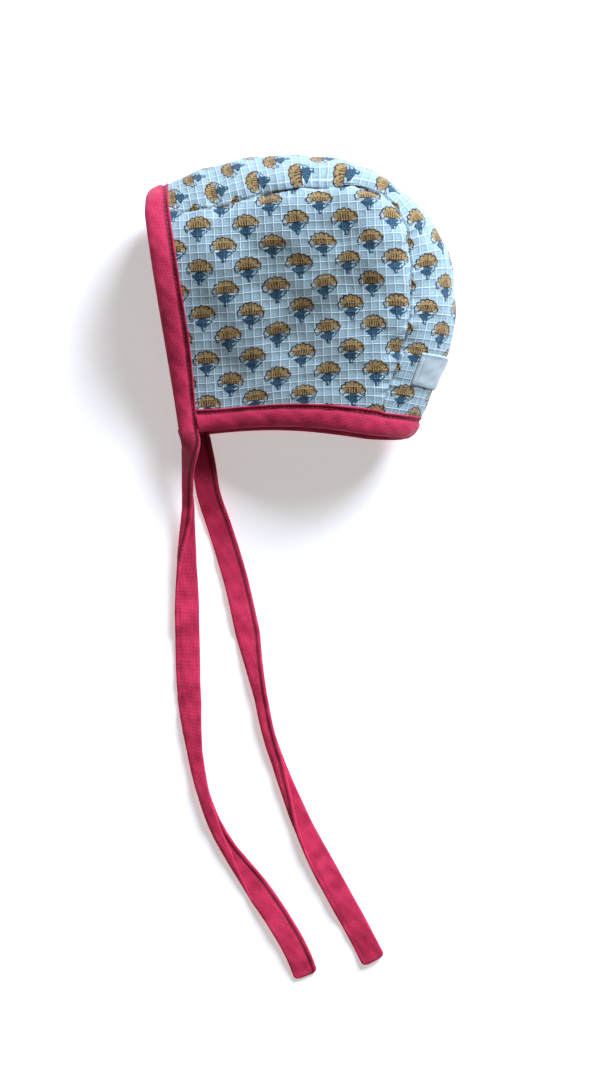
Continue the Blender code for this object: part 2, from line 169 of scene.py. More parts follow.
def boundShare(distance):            # 1 under a binding, 0 from one more width on
    return 1.0 - smoothStep((distance - shape["bindingWidth"]) / shape["bindingWidth"])


seamStations = planPlace(np.array(stations)[:, :3])
seamLength = runningLength(seamStations)[-1]


def edgeShare(along):
    return boundShare(np.minimum(along, 1.0 - along) * seamLength)


def sectionAt(along):                # the crown strip's half-round section, for places along it
    along = np.asarray(along, float)
    row = smoothRows(stations, along)
    seam, crown = planPlace(row[..., 0:3]), planPlace(row[..., 3:6])
    reach = flat(crown - seam)
    length = np.linalg.norm(reach, axis=-1)
    return {
        "along": along,
        "seam": seam,
        "crown": crown,
        "crease": row[..., 6] * puckers["creaseSpread"],
        "outward": reach / length[..., None],
        "halfDepth": length / (1.0 - math.cos(shape["seamTurn"])),
        "halfHeight": (seam[..., 2] - crown[..., 2]) / math.sin(shape["seamTurn"]),
        "edgeLift": shape["bindingLift"] * edgeShare(along),
    }


def sectionPoint(section, across):
    angle = shape["seamTurn"] - across * (shape["seamTurn"] + shape["underTurn"])
    rise, lift = section["crown"][..., 2], section["edgeLift"]
    over = angle >= 0.0
    inward = np.where(over, section["halfDepth"], shape["underReach"]) * (1.0 - np.cos(angle))
    height = np.where(over, rise + section["halfHeight"] * np.sin(angle),
                      lift + (rise - lift) * (1.0 + np.sin(angle)))
    return flat(section["crown"]) - section["outward"] * inward[..., None] + up * height[..., None]


def seamNormal(section):
    out = math.cos(shape["seamTurn"]) / section["halfDepth"]
    rise = math.sin(shape["seamTurn"]) / section["halfHeight"]
    return unit(section["outward"] * out[..., None] + up * rise[..., None])


def seamRelief(section, distance):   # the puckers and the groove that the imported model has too
    turn = 2 * math.pi * puckers["count"] * section["along"]
    wave = 0.6 * np.sin(turn) + 0.4 * np.sin(turn * puckers["secondWave"] + puckers["secondPhase"])
    pucker = puckers["height"] * (1.0 - edgeShare(section["along"])) * wave
    pucker = pucker * np.exp(-(distance / puckers["spread"]) ** 2)
    return pucker - section["crease"] * np.exp(-(distance / puckers["creaseSpread"]) ** 2)


def stripPoint(across, along):
    across, along = np.broadcast_arrays(across, along)
    section = sectionAt(along)
    point = sectionPoint(section, across)
    distance = np.linalg.norm(point - section["seam"], axis=-1)
    relief = seamRelief(section, distance) * smoothStep(1.0 - 2.0 * across)
    return point + seamNormal(section) * relief[..., None]


def makePanel(cornerShares, raised):
    corner = planPlace(np.array(cornerShares))
    alongs = np.linspace(0.0, 1.0, 193)
    panel = {"corner": corner, "raised": raised, "alongs": alongs}
    rays = seamOf(panel, sectionAt(alongs)) - corner
    panel["angles"] = np.arctan2(rays[:, 1], rays[:, 0])
    return panel


def seamOf(panel, section):
    return section["seam"] if panel["raised"] else sectionPoint(section, 1.0)


def edgeRay(panel, edge):
    return flat(seamOf(panel, sectionAt(float(edge))) - panel["corner"])


def edgeDistances(panel, x, y):      # from the face edge and from the neck edge, in plan
    offsets = x - panel["corner"][0], y - panel["corner"][1]
    found = []
    for angle in (panel["angles"][0], panel["angles"][-1]):
        found.append(np.abs(math.cos(angle) * offsets[1] - math.sin(angle) * offsets[0]))
    return found


def panelPoint(panel, x, y):         # the cloth's outer face over a place of its plan
    corner = panel["corner"]
    angle = np.arctan2(y - corner[1], x - corner[0])
    along = np.interp(-angle, -panel["angles"], panel["alongs"])
    along = np.where(angle < -0.5 * math.pi, 0.0, along)
    section = sectionAt(along)
    seam = seamOf(panel, section)
    radius = np.linalg.norm(flat(seam - corner), axis=-1)
    run = np.hypot(x - corner[0], y - corner[1])
    reach = run / radius
    arch = np.sin(math.pi * np.minimum(1.0, reach))
    bow = shape["neckBow"] * arch * along ** 4
    underBinding = boundShare(np.minimum(*edgeDistances(panel, x, y)))
    if not panel["raised"]:
        rise = seam[..., 2] * (np.maximum(0.0, reach - shape["flatShare"]) / (1.0 - shape["flatShare"])) ** 2
        return np.stack([x, y + bow, np.maximum(shape["bindingLift"] * underBinding, rise)], axis=-1)
    soft = shape["cornerSoftness"]
    t = (np.hypot(run, soft) - soft) / (np.hypot(radius, soft) - soft)
    slope = section["halfHeight"] / section["halfDepth"] / math.tan(shape["seamTurn"])
    shoulder = -(slope ** -3 + shape["shoulderLimit"] ** -3) ** (-1 / 3)
    height = ((2 * t ** 3 - 3 * t ** 2 + 1) * corner[2] + (3 * t ** 2 - 2 * t ** 3) * seam[..., 2]
              + radius * ((t ** 3 - 2 * t ** 2 + t) * shape["cornerSlope"] + (t ** 3 - t ** 2) * shoulder))
    height = height - shape["panelSag"] * (arch * np.sin(math.pi * along)) ** 2
    spread = panel["angles"][0] - panel["angles"][-1]
    for dentReach, dentAlong, size, depth in dents:
        offset = np.hypot((reach - dentReach) * radius, (along - dentAlong) * spread * run)
        share = np.exp(-(offset / (size * shape["size"][0])) ** 2)
        height = height - depth * shape["size"][2] * share * (1.0 - underBinding)
    relief = seamRelief(section, np.maximum(0.0, radius - run))
    return np.stack([x, y + bow, height], axis=-1) + seamNormal(section) * relief[..., None]


def edgeFrame(panel, edge, run, depth):          # outer face and outward normal beside a bound edge
    ray = edgeRay(panel, edge)
    along = unit(ray)
    other = unit(edgeRay(panel, 1 - edge))
    step = 0.02 if edge == 0 else -0.02
    seam = unit(flat(seamOf(panel, sectionAt(edge + step)) - seamOf(panel, sectionAt(float(edge)))))
    blend = smoothStep(run / np.linalg.norm(ray))[..., None]
    mixed = unit(other * (1.0 - blend) + seam * blend)
    inward = mixed / np.abs(np.cross(along, mixed)[..., 2])[..., None]
    plan = flat(panel["corner"]) + along * run[..., None] + inward * depth[..., None]
    return panelFrame(panel, plan[..., 0], plan[..., 1])


def panelFrame(panel, x, y, step=0.6 * mm):
    alongX = panelPoint(panel, x + step, y) - panelPoint(panel, x - step, y)
    alongY = panelPoint(panel, x, y + step) - panelPoint(panel, x, y - step)
    normal = unit(np.cross(alongX, alongY))
    return panelPoint(panel, x, y), normal if panel["raised"] else -normal


def stripFrame(across, along, step=0.003):
    alongAcross = stripPoint(across + step, along) - stripPoint(across - step, along)
    alongLength = stripPoint(across, along + step) - stripPoint(across, along - step)
    section = sectionAt(np.broadcast_arrays(across, along)[1])
    middle = section["crown"] - section["outward"] * shape["underReach"]
    normal = unit(np.cross(alongAcross, alongLength))
    point = stripPoint(across, along)
    facing = np.sign(np.sum(normal * (point - middle), axis=-1, keepdims=True))
    return point, normal * facing


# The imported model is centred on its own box: the same shift brings these surfaces to it
ownStrip = stripPoint(*np.meshgrid(np.linspace(0, 1, 13), np.linspace(0, 1, 37)))
planCorner[:2] += np.array(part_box("crown_strip")[1])[:2] - ownStrip.reshape(-1, 3).max(0)[:2]
planShift = planCorner + 0.5 * flat(shape["size"])
raisedPanel = makePanel((0.129, 0.047, 0.383), True)
lowerPanel = makePanel((0.142, 0.044, 0.0), False)
print("surfaces placed, shifted by", np.round(planShift * 1000, 3), "mm")


def meshOf(name, points, faces, clothPlaces=None):
    mesh = bpy.data.meshes.new(name)
    mesh.from_pydata(points.reshape(-1, 3).tolist(), [], faces)
    if clothPlaces is not None:      # place on the flat cloth, in mm, which the patterns follow
        layer = mesh.attributes.new("clothPlace", "FLOAT_VECTOR", "POINT")
        layer.data.foreach_set("vector", clothPlaces.astype(np.float32).ravel())
    mesh.shade_smooth()
    piece = bpy.data.objects.new(name, mesh)
    bpy.context.scene.collection.objects.link(piece)
    return piece


def gridFaces(rows, columns, flip=False, closed=False):
    lastColumn = columns if closed else columns - 1
    row, column = np.meshgrid(np.arange(rows - 1), np.arange(lastColumn), indexing="ij")
    right = (column + 1) % columns
    corners = [row * columns + column, row * columns + right, (row + 1) * columns + right,
               (row + 1) * columns + column]
    if flip:
        corners.reverse()
    return np.stack(corners, axis=-1).reshape(-1, 4).tolist()


def clothSheet(name, points, clothPlaces, thickness, materials, flip):
    rows, columns = points.shape[:2]
    piece = meshOf(name, points, gridFaces(rows, columns, flip), clothPlaces)
    for material in materials:
        piece.data.materials.append(material)
    thicken = piece.modifiers.new("cloth thickness", "SOLIDIFY")
    thicken.thickness = thickness
    thicken.offset = -1.0
    if len(materials) > 1:
        thicken.material_offset = 1
    return piece


def gridNormals(points):
    return unit(np.cross(np.gradient(points, axis=0), np.gradient(points, axis=1)))


# Materials
def fromHex(code):                   # sRGB hex to linear
    parts = [int(code[at:at + 2], 16) / 255 for at in (1, 3, 5)]
    parts = [part / 12.92 if part <= 0.04045 else ((part + 0.055) / 1.055) ** 2.4 for part in parts]
    return (*parts, 1.0)


def addNode(tree, kind, settings=None, inputs=None):
    node = tree.nodes.new(kind)
    for name, value in (settings or {}).items():
        setattr(node, name, value)
    for socket, value in (inputs or {}).items():
        if isinstance(value, bpy.types.NodeSocket):
            tree.links.new(value, node.inputs[socket])
        else:
            node.inputs[socket].default_value = value
    return node


# Rows of name, operation and inputs: sums, clamped where the operation ends with *, and colour mixes
def addSteps(tree, made, steps):
    for name, operation, *values in steps:
        values = [made.get(value, value) for value in values]
        if operation == "MIX":
            sockets = dict(zip(("Factor", "A", "B"), values))
            made[name] = addNode(tree, "ShaderNodeMix", {"data_type": "RGBA"}, sockets).outputs["Result"]
            continue
        settings = {"operation": operation.strip("*"), "use_clamp": operation.endswith("*")}
        made[name] = addNode(tree, "ShaderNodeMath", settings, dict(enumerate(values))).outputs[0]
    return made


# Hand block print, all lengths in mm: a scalloped fan over a small leafed stalk
motif = {
    "repeatWide": 24.0,
    "repeatHigh": 21.5,
    "fanHalfWidth": 6.5,
    "fanHeight": 6.0,
    "scallops": 7,
    "fillShift": 0.9,                # the mustard block lands a little to the right
    "outline": 0.36,                 # half the width of the dark line
    "strokeGap": 1.35,
    "inkEdge": 4.0,                  # how sharply a printed line ends, per mm
    "slip": 0.9,                     # range of a block's place, set down by hand
    "slipFrom": (-0.45, -0.25),
    "lean": 0.16,                    # range of its turn, in radians
    "wobble": 1.3,                   # range of the uneven edges
    "scallopLow": 0.90,              # the fan's edge over its size, where two scallops meet
    "scallopRise": 0.11,
    "fanFoot": 6.4,                  # half the length of the fan's lower line
    "leafPlace": (2.95, -2.2),
    "leafTurn": (0.83, 0.56),        # cosine and sine
    "leafSize": (1.2, 0.45),
    "eyeScale": (2.9, 1.1),          # the bare eye in the foot of the stalk, one over its half size
    "eyeShift": (-1.6, 5.6),
    "curveLow": -2.0,                # the curves below lie between this and curveSpan more
    "curveSpan": 8.0,
    # height of the fan's lower line over its half width, and half widths of the stalk over its height
    "curves": {
        "baseRise": ((0.0, -0.1), (1.6, 0.1), (2.8, 0.3), (3.8, 0.0), (4.7, -0.75), (5.5, -1.0), (6.2, -0.6),
                     (6.8, 0.3)),
        "stalkLeft": ((-6.4, 0.0), (-6.1, 0.9), (-5.4, 0.8), (-4.6, 1.1), (-3.9, 1.9), (-3.2, 2.8),
                      (-2.5, 3.5), (-1.9, 3.8), (-1.5, 3.3), (-1.15, 2.4), (-0.7, 1.9), (-0.1, 1.2),
                      (0.4, 0.0)),
        "stalkRight": ((-6.4, 0.0), (-6.1, 1.3), (-5.4, 1.2), (-4.6, 1.6), (-3.9, 2.3), (-3.2, 3.3),
                       (-2.5, 4.2), (-1.9, 4.8), (-1.4, 4.6), (-1.0, 3.4), (-0.6, 2.1), (-0.1, 1.4),
                       (0.4, 0.0)),
    },
}


def printGroup():
    group = bpy.data.node_groups.new("hand block print", "ShaderNodeTree")
    group.interface.new_socket("Place", in_out="INPUT", socket_type="NodeSocketVector")
    for name in ("Fill", "Line", "Blue"):
        group.interface.new_socket(name, in_out="OUTPUT", socket_type="NodeSocketFloat")
    place = addNode(group, "NodeGroupInput").outputs["Place"]
    wobble = addNode(group, "ShaderNodeTexNoise", inputs={"Vector": place, "Scale": 0.8, "Detail": 2.0})
    wobbleParts = addNode(group, "ShaderNodeSeparateColor", inputs={0: wobble.outputs["Color"]})
    parts = addNode(group, "ShaderNodeSeparateXYZ", inputs={0: place})
    made = {"x": parts.outputs[0], "y": parts.outputs[1], "wobbleX": wobbleParts.outputs[0],
            "wobbleY": wobbleParts.outputs[1]}
    wide, high = motif["repeatWide"], motif["repeatHigh"]
    addSteps(group, made, [
        # the two interleaved rows of cells, and which of them is nearer
        ("columnShare", "DIVIDE", "x", wide),
        ("rowShare", "DIVIDE", "y", high),
        ("columnA", "ROUND", "columnShare"),
        ("rowA", "ROUND", "rowShare"),
        ("columnFloor", "FLOOR", "columnShare"),
        ("rowFloor", "FLOOR", "rowShare"),
        ("columnB", "ADD", "columnFloor", 0.5),
        ("rowB", "ADD", "rowFloor", 0.5),
        ("shareAX", "SUBTRACT", "columnShare", "columnA"),
        ("shareAY", "SUBTRACT", "rowShare", "rowA"),
        ("farX", "ABSOLUTE", "shareAX"),
        ("farY", "ABSOLUTE", "shareAY"),
        ("far", "ADD", "farX", "farY"),
        ("useB", "GREATER_THAN", "far", 0.5),
        ("columnGap", "SUBTRACT", "columnB", "columnA"),
        ("rowGap", "SUBTRACT", "rowB", "rowA"),
        ("column", "MULTIPLY_ADD", "columnGap", "useB", "columnA"),
        ("row", "MULTIPLY_ADD", "rowGap", "useB", "rowA"),
        ("cellX", "SUBTRACT", "columnShare", "column"),
        ("cellY", "SUBTRACT", "rowShare", "row"),
    ])
    cell = addNode(group, "ShaderNodeCombineXYZ", inputs={0: made["column"], 1: made["row"], 2: 3.0})
    chance = addNode(group, "ShaderNodeTexWhiteNoise", inputs={"Vector": cell.outputs[0]})
    chances = addNode(group, "ShaderNodeSeparateColor", inputs={0: chance.outputs["Color"]})
    made.update(zip(("chanceX", "chanceY", "chanceTurn"), chances.outputs))
    halfWide, tall, inkEdge = motif["fanHalfWidth"], motif["fanHeight"], motif["inkEdge"]
    addSteps(group, made, [
        # place within the motif, with the small slips of a block set down by hand
        ("slipX", "MULTIPLY_ADD", "chanceX", motif["slip"], motif["slipFrom"][0]),
        ("slipY", "MULTIPLY_ADD", "chanceY", motif["slip"], motif["slipFrom"][1]),
        ("lean", "MULTIPLY_ADD", "chanceTurn", motif["lean"], -0.5 * motif["lean"]),
        ("edgeX", "MULTIPLY_ADD", "wobbleX", motif["wobble"], -0.5 * motif["wobble"]),
        ("edgeY", "MULTIPLY_ADD", "wobbleY", motif["wobble"], -0.5 * motif["wobble"]),
        ("straightX", "MULTIPLY_ADD", "cellX", wide, "slipX"),
        ("straightY", "MULTIPLY_ADD", "cellY", high, "slipY"),
        ("leanX", "MULTIPLY_ADD", "straightY", "lean", "straightX"),
        ("turnBack", "MULTIPLY", "straightX", "lean"),
        ("leanY", "SUBTRACT", "straightY", "turnBack"),
        ("p", "ADD", "leanX", "edgeX"),
        ("q", "ADD", "leanY", "edgeY"),
        ("side", "ABSOLUTE", "p"),
    ])
    low, tallest = motif["curveLow"], motif["curveSpan"]
    for name, rows in motif["curves"].items():
        lowest, span = rows[0][0], rows[-1][0] - rows[0][0]
        source = made["side"] if name == "baseRise" else made["q"]
        scaled = addSteps(group, {"value": source},
                          [("scaled", "MULTIPLY_ADD*", "value", 1.0 / span, -lowest / span)])["scaled"]
        curve = addNode(group, "ShaderNodeFloatCurve", inputs={"Value": scaled})
        line = curve.mapping.curves[0]
        for at, (position, value) in enumerate(rows):
            spot = ((position - lowest) / span, (value - low) / tallest)
            if at in (0, len(rows) - 1):
                line.points[-1 if at else 0].location = spot
            else:
                line.points.new(*spot)
        curve.mapping.update()
        addSteps(group, made, [(name, "MULTIPLY_ADD", curve.outputs[0], tallest, low)])
    addSteps(group, made, [
        # the fan's scalloped edge
        ("fanX", "DIVIDE", "p", halfWide),
        ("fanY", "DIVIDE", "q", tall),
        ("fanX2", "MULTIPLY", "fanX", "fanX"),
        ("fanSum", "MULTIPLY_ADD", "fanY", "fanY", "fanX2"),
        ("fanR", "SQRT", "fanSum"),
        ("fanAngle", "ARCTAN2", "q", "p"),
        ("scallopTurn", "MULTIPLY", "fanAngle", float(motif["scallops"])),
        ("scallopWave", "SINE", "scallopTurn"),
        ("scallop", "ABSOLUTE", "scallopWave"),
        ("fanEdge", "MULTIPLY_ADD", "scallop", motif["scallopRise"], motif["scallopLow"]),
        ("fanGap", "SUBTRACT", "fanR", "fanEdge"),
        ("fanGapMm", "MULTIPLY", "fanGap", halfWide),
        ("fanFar", "ABSOLUTE", "fanGapMm"),
        ("baseRoom", "SUBTRACT", "q", "baseRise"),
        ("aboveBase", "MULTIPLY_ADD*", "baseRoom", 3.0, 1.0),
        ("archLine", "MULTIPLY_ADD*", "fanFar", -inkEdge, inkEdge * motif["outline"] + 0.5),
        ("arch", "MULTIPLY", "archLine", "aboveBase"),
        # short lines where the scallops meet, from 1.4 mm inside the edge to 0.2 mm past it
        ("tickLine", "MULTIPLY_ADD*", "scallop", -3.5, 1.3),
        ("tickIn", "MULTIPLY_ADD*", "fanGapMm", 2.5, 3.6),
        ("tickOut", "MULTIPLY_ADD*", "fanGapMm", -2.5, 0.6),
        ("tickCut", "MULTIPLY", "tickIn", "tickOut"),
        ("tickShort", "MULTIPLY", "tickLine", "tickCut"),
        ("tick", "MULTIPLY", "tickShort", "aboveBase"),
        # the curled lower line
        ("baseFar", "ABSOLUTE", "baseRoom"),
        ("baseLine", "MULTIPLY_ADD*", "baseFar", -3.5, 1.45),
        ("withinFan", "MULTIPLY_ADD*", "side", -inkEdge, inkEdge * motif["fanFoot"]),
        ("base", "MULTIPLY", "baseLine", "withinFan"),
        # the strokes between the petals
        ("strokeSpread", "MULTIPLY_ADD", "q", 0.05, 0.82),
        ("strokeX", "DIVIDE", "p", "strokeSpread"),
        ("strokeShare", "DIVIDE", "strokeX", motif["strokeGap"]),
        ("strokeFraction", "FRACT", "strokeShare"),
        ("strokeOff", "SUBTRACT", "strokeFraction", 0.5),
        ("strokeFar", "ABSOLUTE", "strokeOff"),
        ("strokeLine", "MULTIPLY_ADD*", "strokeFar", -6.0, 1.75),
        ("strokeLow", "MULTIPLY_ADD*", "baseRoom", 3.0, -0.4),
        ("p2", "MULTIPLY", "p", "p"),
        ("strokeTop", "MULTIPLY_ADD", "p2", -0.17, 3.8),
        ("strokeRoom", "SUBTRACT", "strokeTop", "q"),
        ("strokeHigh", "MULTIPLY*", "strokeRoom", 1.6),
        ("strokeCut", "MULTIPLY", "strokeLow", "strokeHigh"),
        ("stroke", "MULTIPLY", "strokeLine", "strokeCut"),
        ("lineA", "MAXIMUM", "arch", "base"),
        ("lineB", "MAXIMUM", "lineA", "stroke"),
        ("fanLine", "MAXIMUM", "lineB", "tick"),
        # mustard ground of the fan, set off to one side and short of the curls at its foot
        ("fillX", "MULTIPLY_ADD", "p", 1.0 / halfWide, -motif["fillShift"] / halfWide),
        ("fillY", "MULTIPLY_ADD", "q", 1.0 / tall, -0.02),
        ("fillX2", "MULTIPLY", "fillX", "fillX"),
        ("fillSum", "MULTIPLY_ADD", "fillY", "fillY", "fillX2"),
        ("fillR", "SQRT", "fillSum"),
        ("fillIn", "MULTIPLY_ADD*", "fillR", -7.0, 7.3),
        ("fillWave", "MULTIPLY_ADD", "side", -0.28, "q"),
        ("fillAbove", "MULTIPLY_ADD*", "fillWave", 1.6, 1.9),
        ("fillCorner", "MULTIPLY_ADD", "q", 0.8, "p"),
        ("fillLeft", "MULTIPLY_ADD*", "fillCorner", 0.55, 2.7),
        ("fillCut", "MULTIPLY", "fillIn", "fillAbove"),
        ("fill", "MULTIPLY", "fillCut", "fillLeft"),
        # the stalk between its two outlines
        ("roomLeft", "ADD", "stalkLeft", "p"),
        ("roomRight", "SUBTRACT", "stalkRight", "p"),
        ("room", "MINIMUM", "roomLeft", "roomRight"),
        ("stalk", "MULTIPLY_ADD*", "room", 3.5, 0.4),
        # the leaf on the right is a loop, with a bare eye inside it
        ("leafX", "SUBTRACT", "p", motif["leafPlace"][0]),
        ("leafY", "SUBTRACT", "q", motif["leafPlace"][1]),
        ("leafU1", "MULTIPLY", "leafX", motif["leafTurn"][0]),
        ("leafU", "MULTIPLY_ADD", "leafY", motif["leafTurn"][1], "leafU1"),
        ("leafV1", "MULTIPLY", "leafY", motif["leafTurn"][0]),
        ("leafV", "MULTIPLY_ADD", "leafX", -motif["leafTurn"][1], "leafV1"),
        ("leafU2", "DIVIDE", "leafU", motif["leafSize"][0]),
        ("leafV2", "DIVIDE", "leafV", motif["leafSize"][1]),
        ("leafUU", "MULTIPLY", "leafU2", "leafU2"),
        ("leafR", "MULTIPLY_ADD", "leafV2", "leafV2", "leafUU"),
        ("leafBare", "MULTIPLY_ADD*", "leafR", -2.0, 2.6),
        # and another in the foot of the stalk
        ("eyeX", "MULTIPLY_ADD", "p", motif["eyeScale"][0], motif["eyeShift"][0]),
        ("eyeY", "MULTIPLY_ADD", "q", motif["eyeScale"][1], motif["eyeShift"][1]),
        ("eyeXX", "MULTIPLY", "eyeX", "eyeX"),
        ("eyeR", "MULTIPLY_ADD", "eyeY", "eyeY", "eyeXX"),
        ("eyeBare", "MULTIPLY_ADD*", "eyeR", -2.0, 2.2),
        ("bare", "MAXIMUM", "leafBare", "eyeBare"),
        ("notBare", "SUBTRACT*", 1.0, "bare"),
        ("blue", "MULTIPLY", "stalk", "notBare"),
    ])
    outputs = {"Fill": made["fill"], "Line": made["fanLine"], "Blue": made["blue"]}
    addNode(group, "NodeGroupOutput", inputs=outputs)
    return group


# Cotton woven with a raised windowpane check.
cotton = {
    "check": 4.15,
    "thread": 1.04,                  # four to a check, drawn coarser than real so that they show
    "cell": "#a6c2ca",
    "cellDark": "#86a1a8",
    "valley": "#7b9299",             # painted shade beside the raised lines
    "line": "#cfdfe4",
    "mustard": "#836020",
    "mustardPale": "#a98a45",
    "brown": "#230f10",
    "blue": "#1d526e",
    "blueDeep": "#0f2c3e",
    "showThrough": 0.22,             # of the inks, on the wrong side
    "relief": (1.0, 0.3 * mm),       # strength and height
    "surface": {"Roughness": 0.82, "Sheen Weight": 0.25, "Sheen Roughness": 0.4, "Specular IOR Level": 0.25},
}


def newMaterial(name):
    material = bpy.data.materials.new(name)
    material.use_nodes = True
    return material, material.node_tree, material.node_tree.nodes["Principled BSDF"]


def clothMaterial(name, noises):     # each noise: name, scale per mm and detail
    material, tree, _ = newMaterial(name)
    place = addNode(tree, "ShaderNodeAttribute", {"attribute_name": "clothPlace"}).outputs["Vector"]
    parts = addNode(tree, "ShaderNodeSeparateXYZ", inputs={0: place})
    made = {"place": place, "x": parts.outputs[0], "y": parts.outputs[1], "mark": parts.outputs[2]}
    for key, scale, detail in noises:
        inputs = {"Vector": place, "Scale": scale, "Detail": detail}
        made[key] = addNode(tree, "ShaderNodeTexNoise", inputs=inputs).outputs["Fac"]
    return material, tree, made


def finishCloth(material, made, relief, surface):        # its colour and relief, and the shader's own numbers
    tree = material.node_tree
    shader = tree.nodes["Principled BSDF"]
    strength, height = relief
    raised = addNode(tree, "ShaderNodeBump", inputs={"Strength": strength, "Distance": height,
                                                    "Height": made["height"]})
    tree.links.new(raised.outputs["Normal"], shader.inputs["Normal"])
    if "colour" in made:
        tree.links.new(made["colour"], shader.inputs["Base Color"])
    for socket, value in surface.items():
        shader.inputs[socket].default_value = value
    return material


def printedCotton(name, group, strength):        # soft, dry and matt, the raised lines catch the light
    material, tree, made = clothMaterial(name, [("uneven", 0.35, 4.0), ("slub", 2.2, 3.0)])
    check, thread = cotton["check"], cotton["thread"]
    steps = []
    for axis in ("x", "y"):
        steps += [
            (axis + "Wander", "MULTIPLY_ADD", "uneven", 0.5, axis),
            (axis + "Share", "DIVIDE", axis + "Wander", check),
            (axis + "Part", "FRACT", axis + "Share"),
            (axis + "Off", "SUBTRACT", axis + "Part", 0.5),
            (axis + "Far", "ABSOLUTE", axis + "Off"),
            (axis + "Line", "MULTIPLY_ADD*", axis + "Far", -14.0, 1.5),
            # painted shade: a darker band in the low cloth beside each raised line
            (axis + "Beside", "SUBTRACT", axis + "Far", 0.15),
            (axis + "BesideFar", "ABSOLUTE", axis + "Beside"),
            (axis + "Valley", "MULTIPLY_ADD*", axis + "BesideFar", -11.0, 1.2),
            (axis + "Thread", "MULTIPLY", axis, 2 * math.pi / thread),
            (axis + "Wave", "SINE", axis + "Thread"),
        ]
    steps += [
        ("lines", "MAXIMUM", "xLine", "yLine"),
        ("valleys", "MAXIMUM", "xValley", "yValley"),
        ("valleyGrip", "MULTIPLY", "valleys", "slub"),
        ("valleyShare", "MULTIPLY*", "valleyGrip", 1.1),
        ("weave", "MULTIPLY", "xWave", "yWave"),
        ("slubHeight", "MULTIPLY", "slub", 0.55),
        ("fine", "MULTIPLY_ADD", "weave", 0.16, "slubHeight"),
        ("puffX", "MULTIPLY", "xFar", "xFar"),
        ("puff", "MULTIPLY_ADD", "yFar", "yFar", "puffX"),
        ("puffed", "MULTIPLY_ADD", "puff", -1.6, "fine"),
        ("height", "MULTIPLY_ADD", "lines", 0.75, "puffed"),
        ("lineGripped", "MULTIPLY_ADD*", "slub", 2.6, -0.65),
        ("lineShare", "MULTIPLY", "lines", "lineGripped"),
        ("slubShade", "MULTIPLY_ADD", "slub", 2.4, -0.75),
        ("shadeShare", "MULTIPLY_ADD*", "weave", 0.22, "slubShade"),
    ]
    addSteps(tree, made, steps)
    drawn = addNode(tree, "ShaderNodeGroup", {"node_tree": group}, {"Place": made["place"]})
    made.update({key: drawn.outputs[key] for key in ("Fill", "Line", "Blue")})
    addSteps(tree, made, [
        ("grip", "MULTIPLY_ADD*", "slub", -1.4, 1.75),       # ink takes less in the low spots
        ("fillShare", "MULTIPLY", "Fill", 0.93 * strength),
        ("fillInk", "MULTIPLY", "fillShare", "grip"),
        ("lineGrip", "MULTIPLY", "Line", "grip"),
        ("lineInk", "MULTIPLY", "lineGrip", strength),
        ("blueGrip", "MULTIPLY", "Blue", "grip"),
        ("blueInk", "MULTIPLY", "blueGrip", 0.97 * strength),
        # the cloth's own colours, with painted shade beside the raised lines, then the three inks over them
        ("shaded", "MIX", "shadeShare", fromHex(cotton["cellDark"]), fromHex(cotton["cell"])),
        ("valleyShaded", "MIX", "valleyShare", "shaded", fromHex(cotton["valley"])),
        ("cloth", "MIX", "lineShare", "valleyShaded", fromHex(cotton["line"])),
        ("mustard", "MIX", "shadeShare", fromHex(cotton["mustard"]), fromHex(cotton["mustardPale"])),
        ("leaf", "MIX", "shadeShare", fromHex(cotton["blueDeep"]), fromHex(cotton["blue"])),
        ("filled", "MIX", "fillInk", "cloth", "mustard"),
        ("leafed", "MIX", "blueInk", "filled", "leaf"),
        ("colour", "MIX", "lineInk", "leafed", fromHex(cotton["brown"])),
    ])
    return finishCloth(material, made, cotton["relief"], cotton["surface"])


# Crimson cotton, plain woven and cut on the bias: matt with a faint bloom on the folds
crimson = {
    "thread": 1.0,                   # drawn coarser than the real 0.25 mm, so that it shows
    # the same crimson cloth in two copies: the binding's darker pair is painted shade, the tape's lighter
    # pair painted light
    "binding": ("#981336", "#e23660"),
    "tape": ("#a5163c", "#f73d67"),
    "tapeStartShade": ("#6a0c22", "#b0264a"),     # painted shade: each tie is darker as it leaves the binding, where it lies in the bonnet's shade
    "startReach": 48.0,              # mm, over which that painted shade fades out
    "groove": "#4a0713",             # painted shade in the groove, where the stitches draw the cloth in
    "relief": (1.0, 0.25 * mm),
    "surface": {"Roughness": 0.74, "Sheen Weight": 0.35, "Sheen Roughness": 0.35, "Specular IOR Level": 0.3,
                "Sheen Tint": fromHex("#ff9db8")},
}


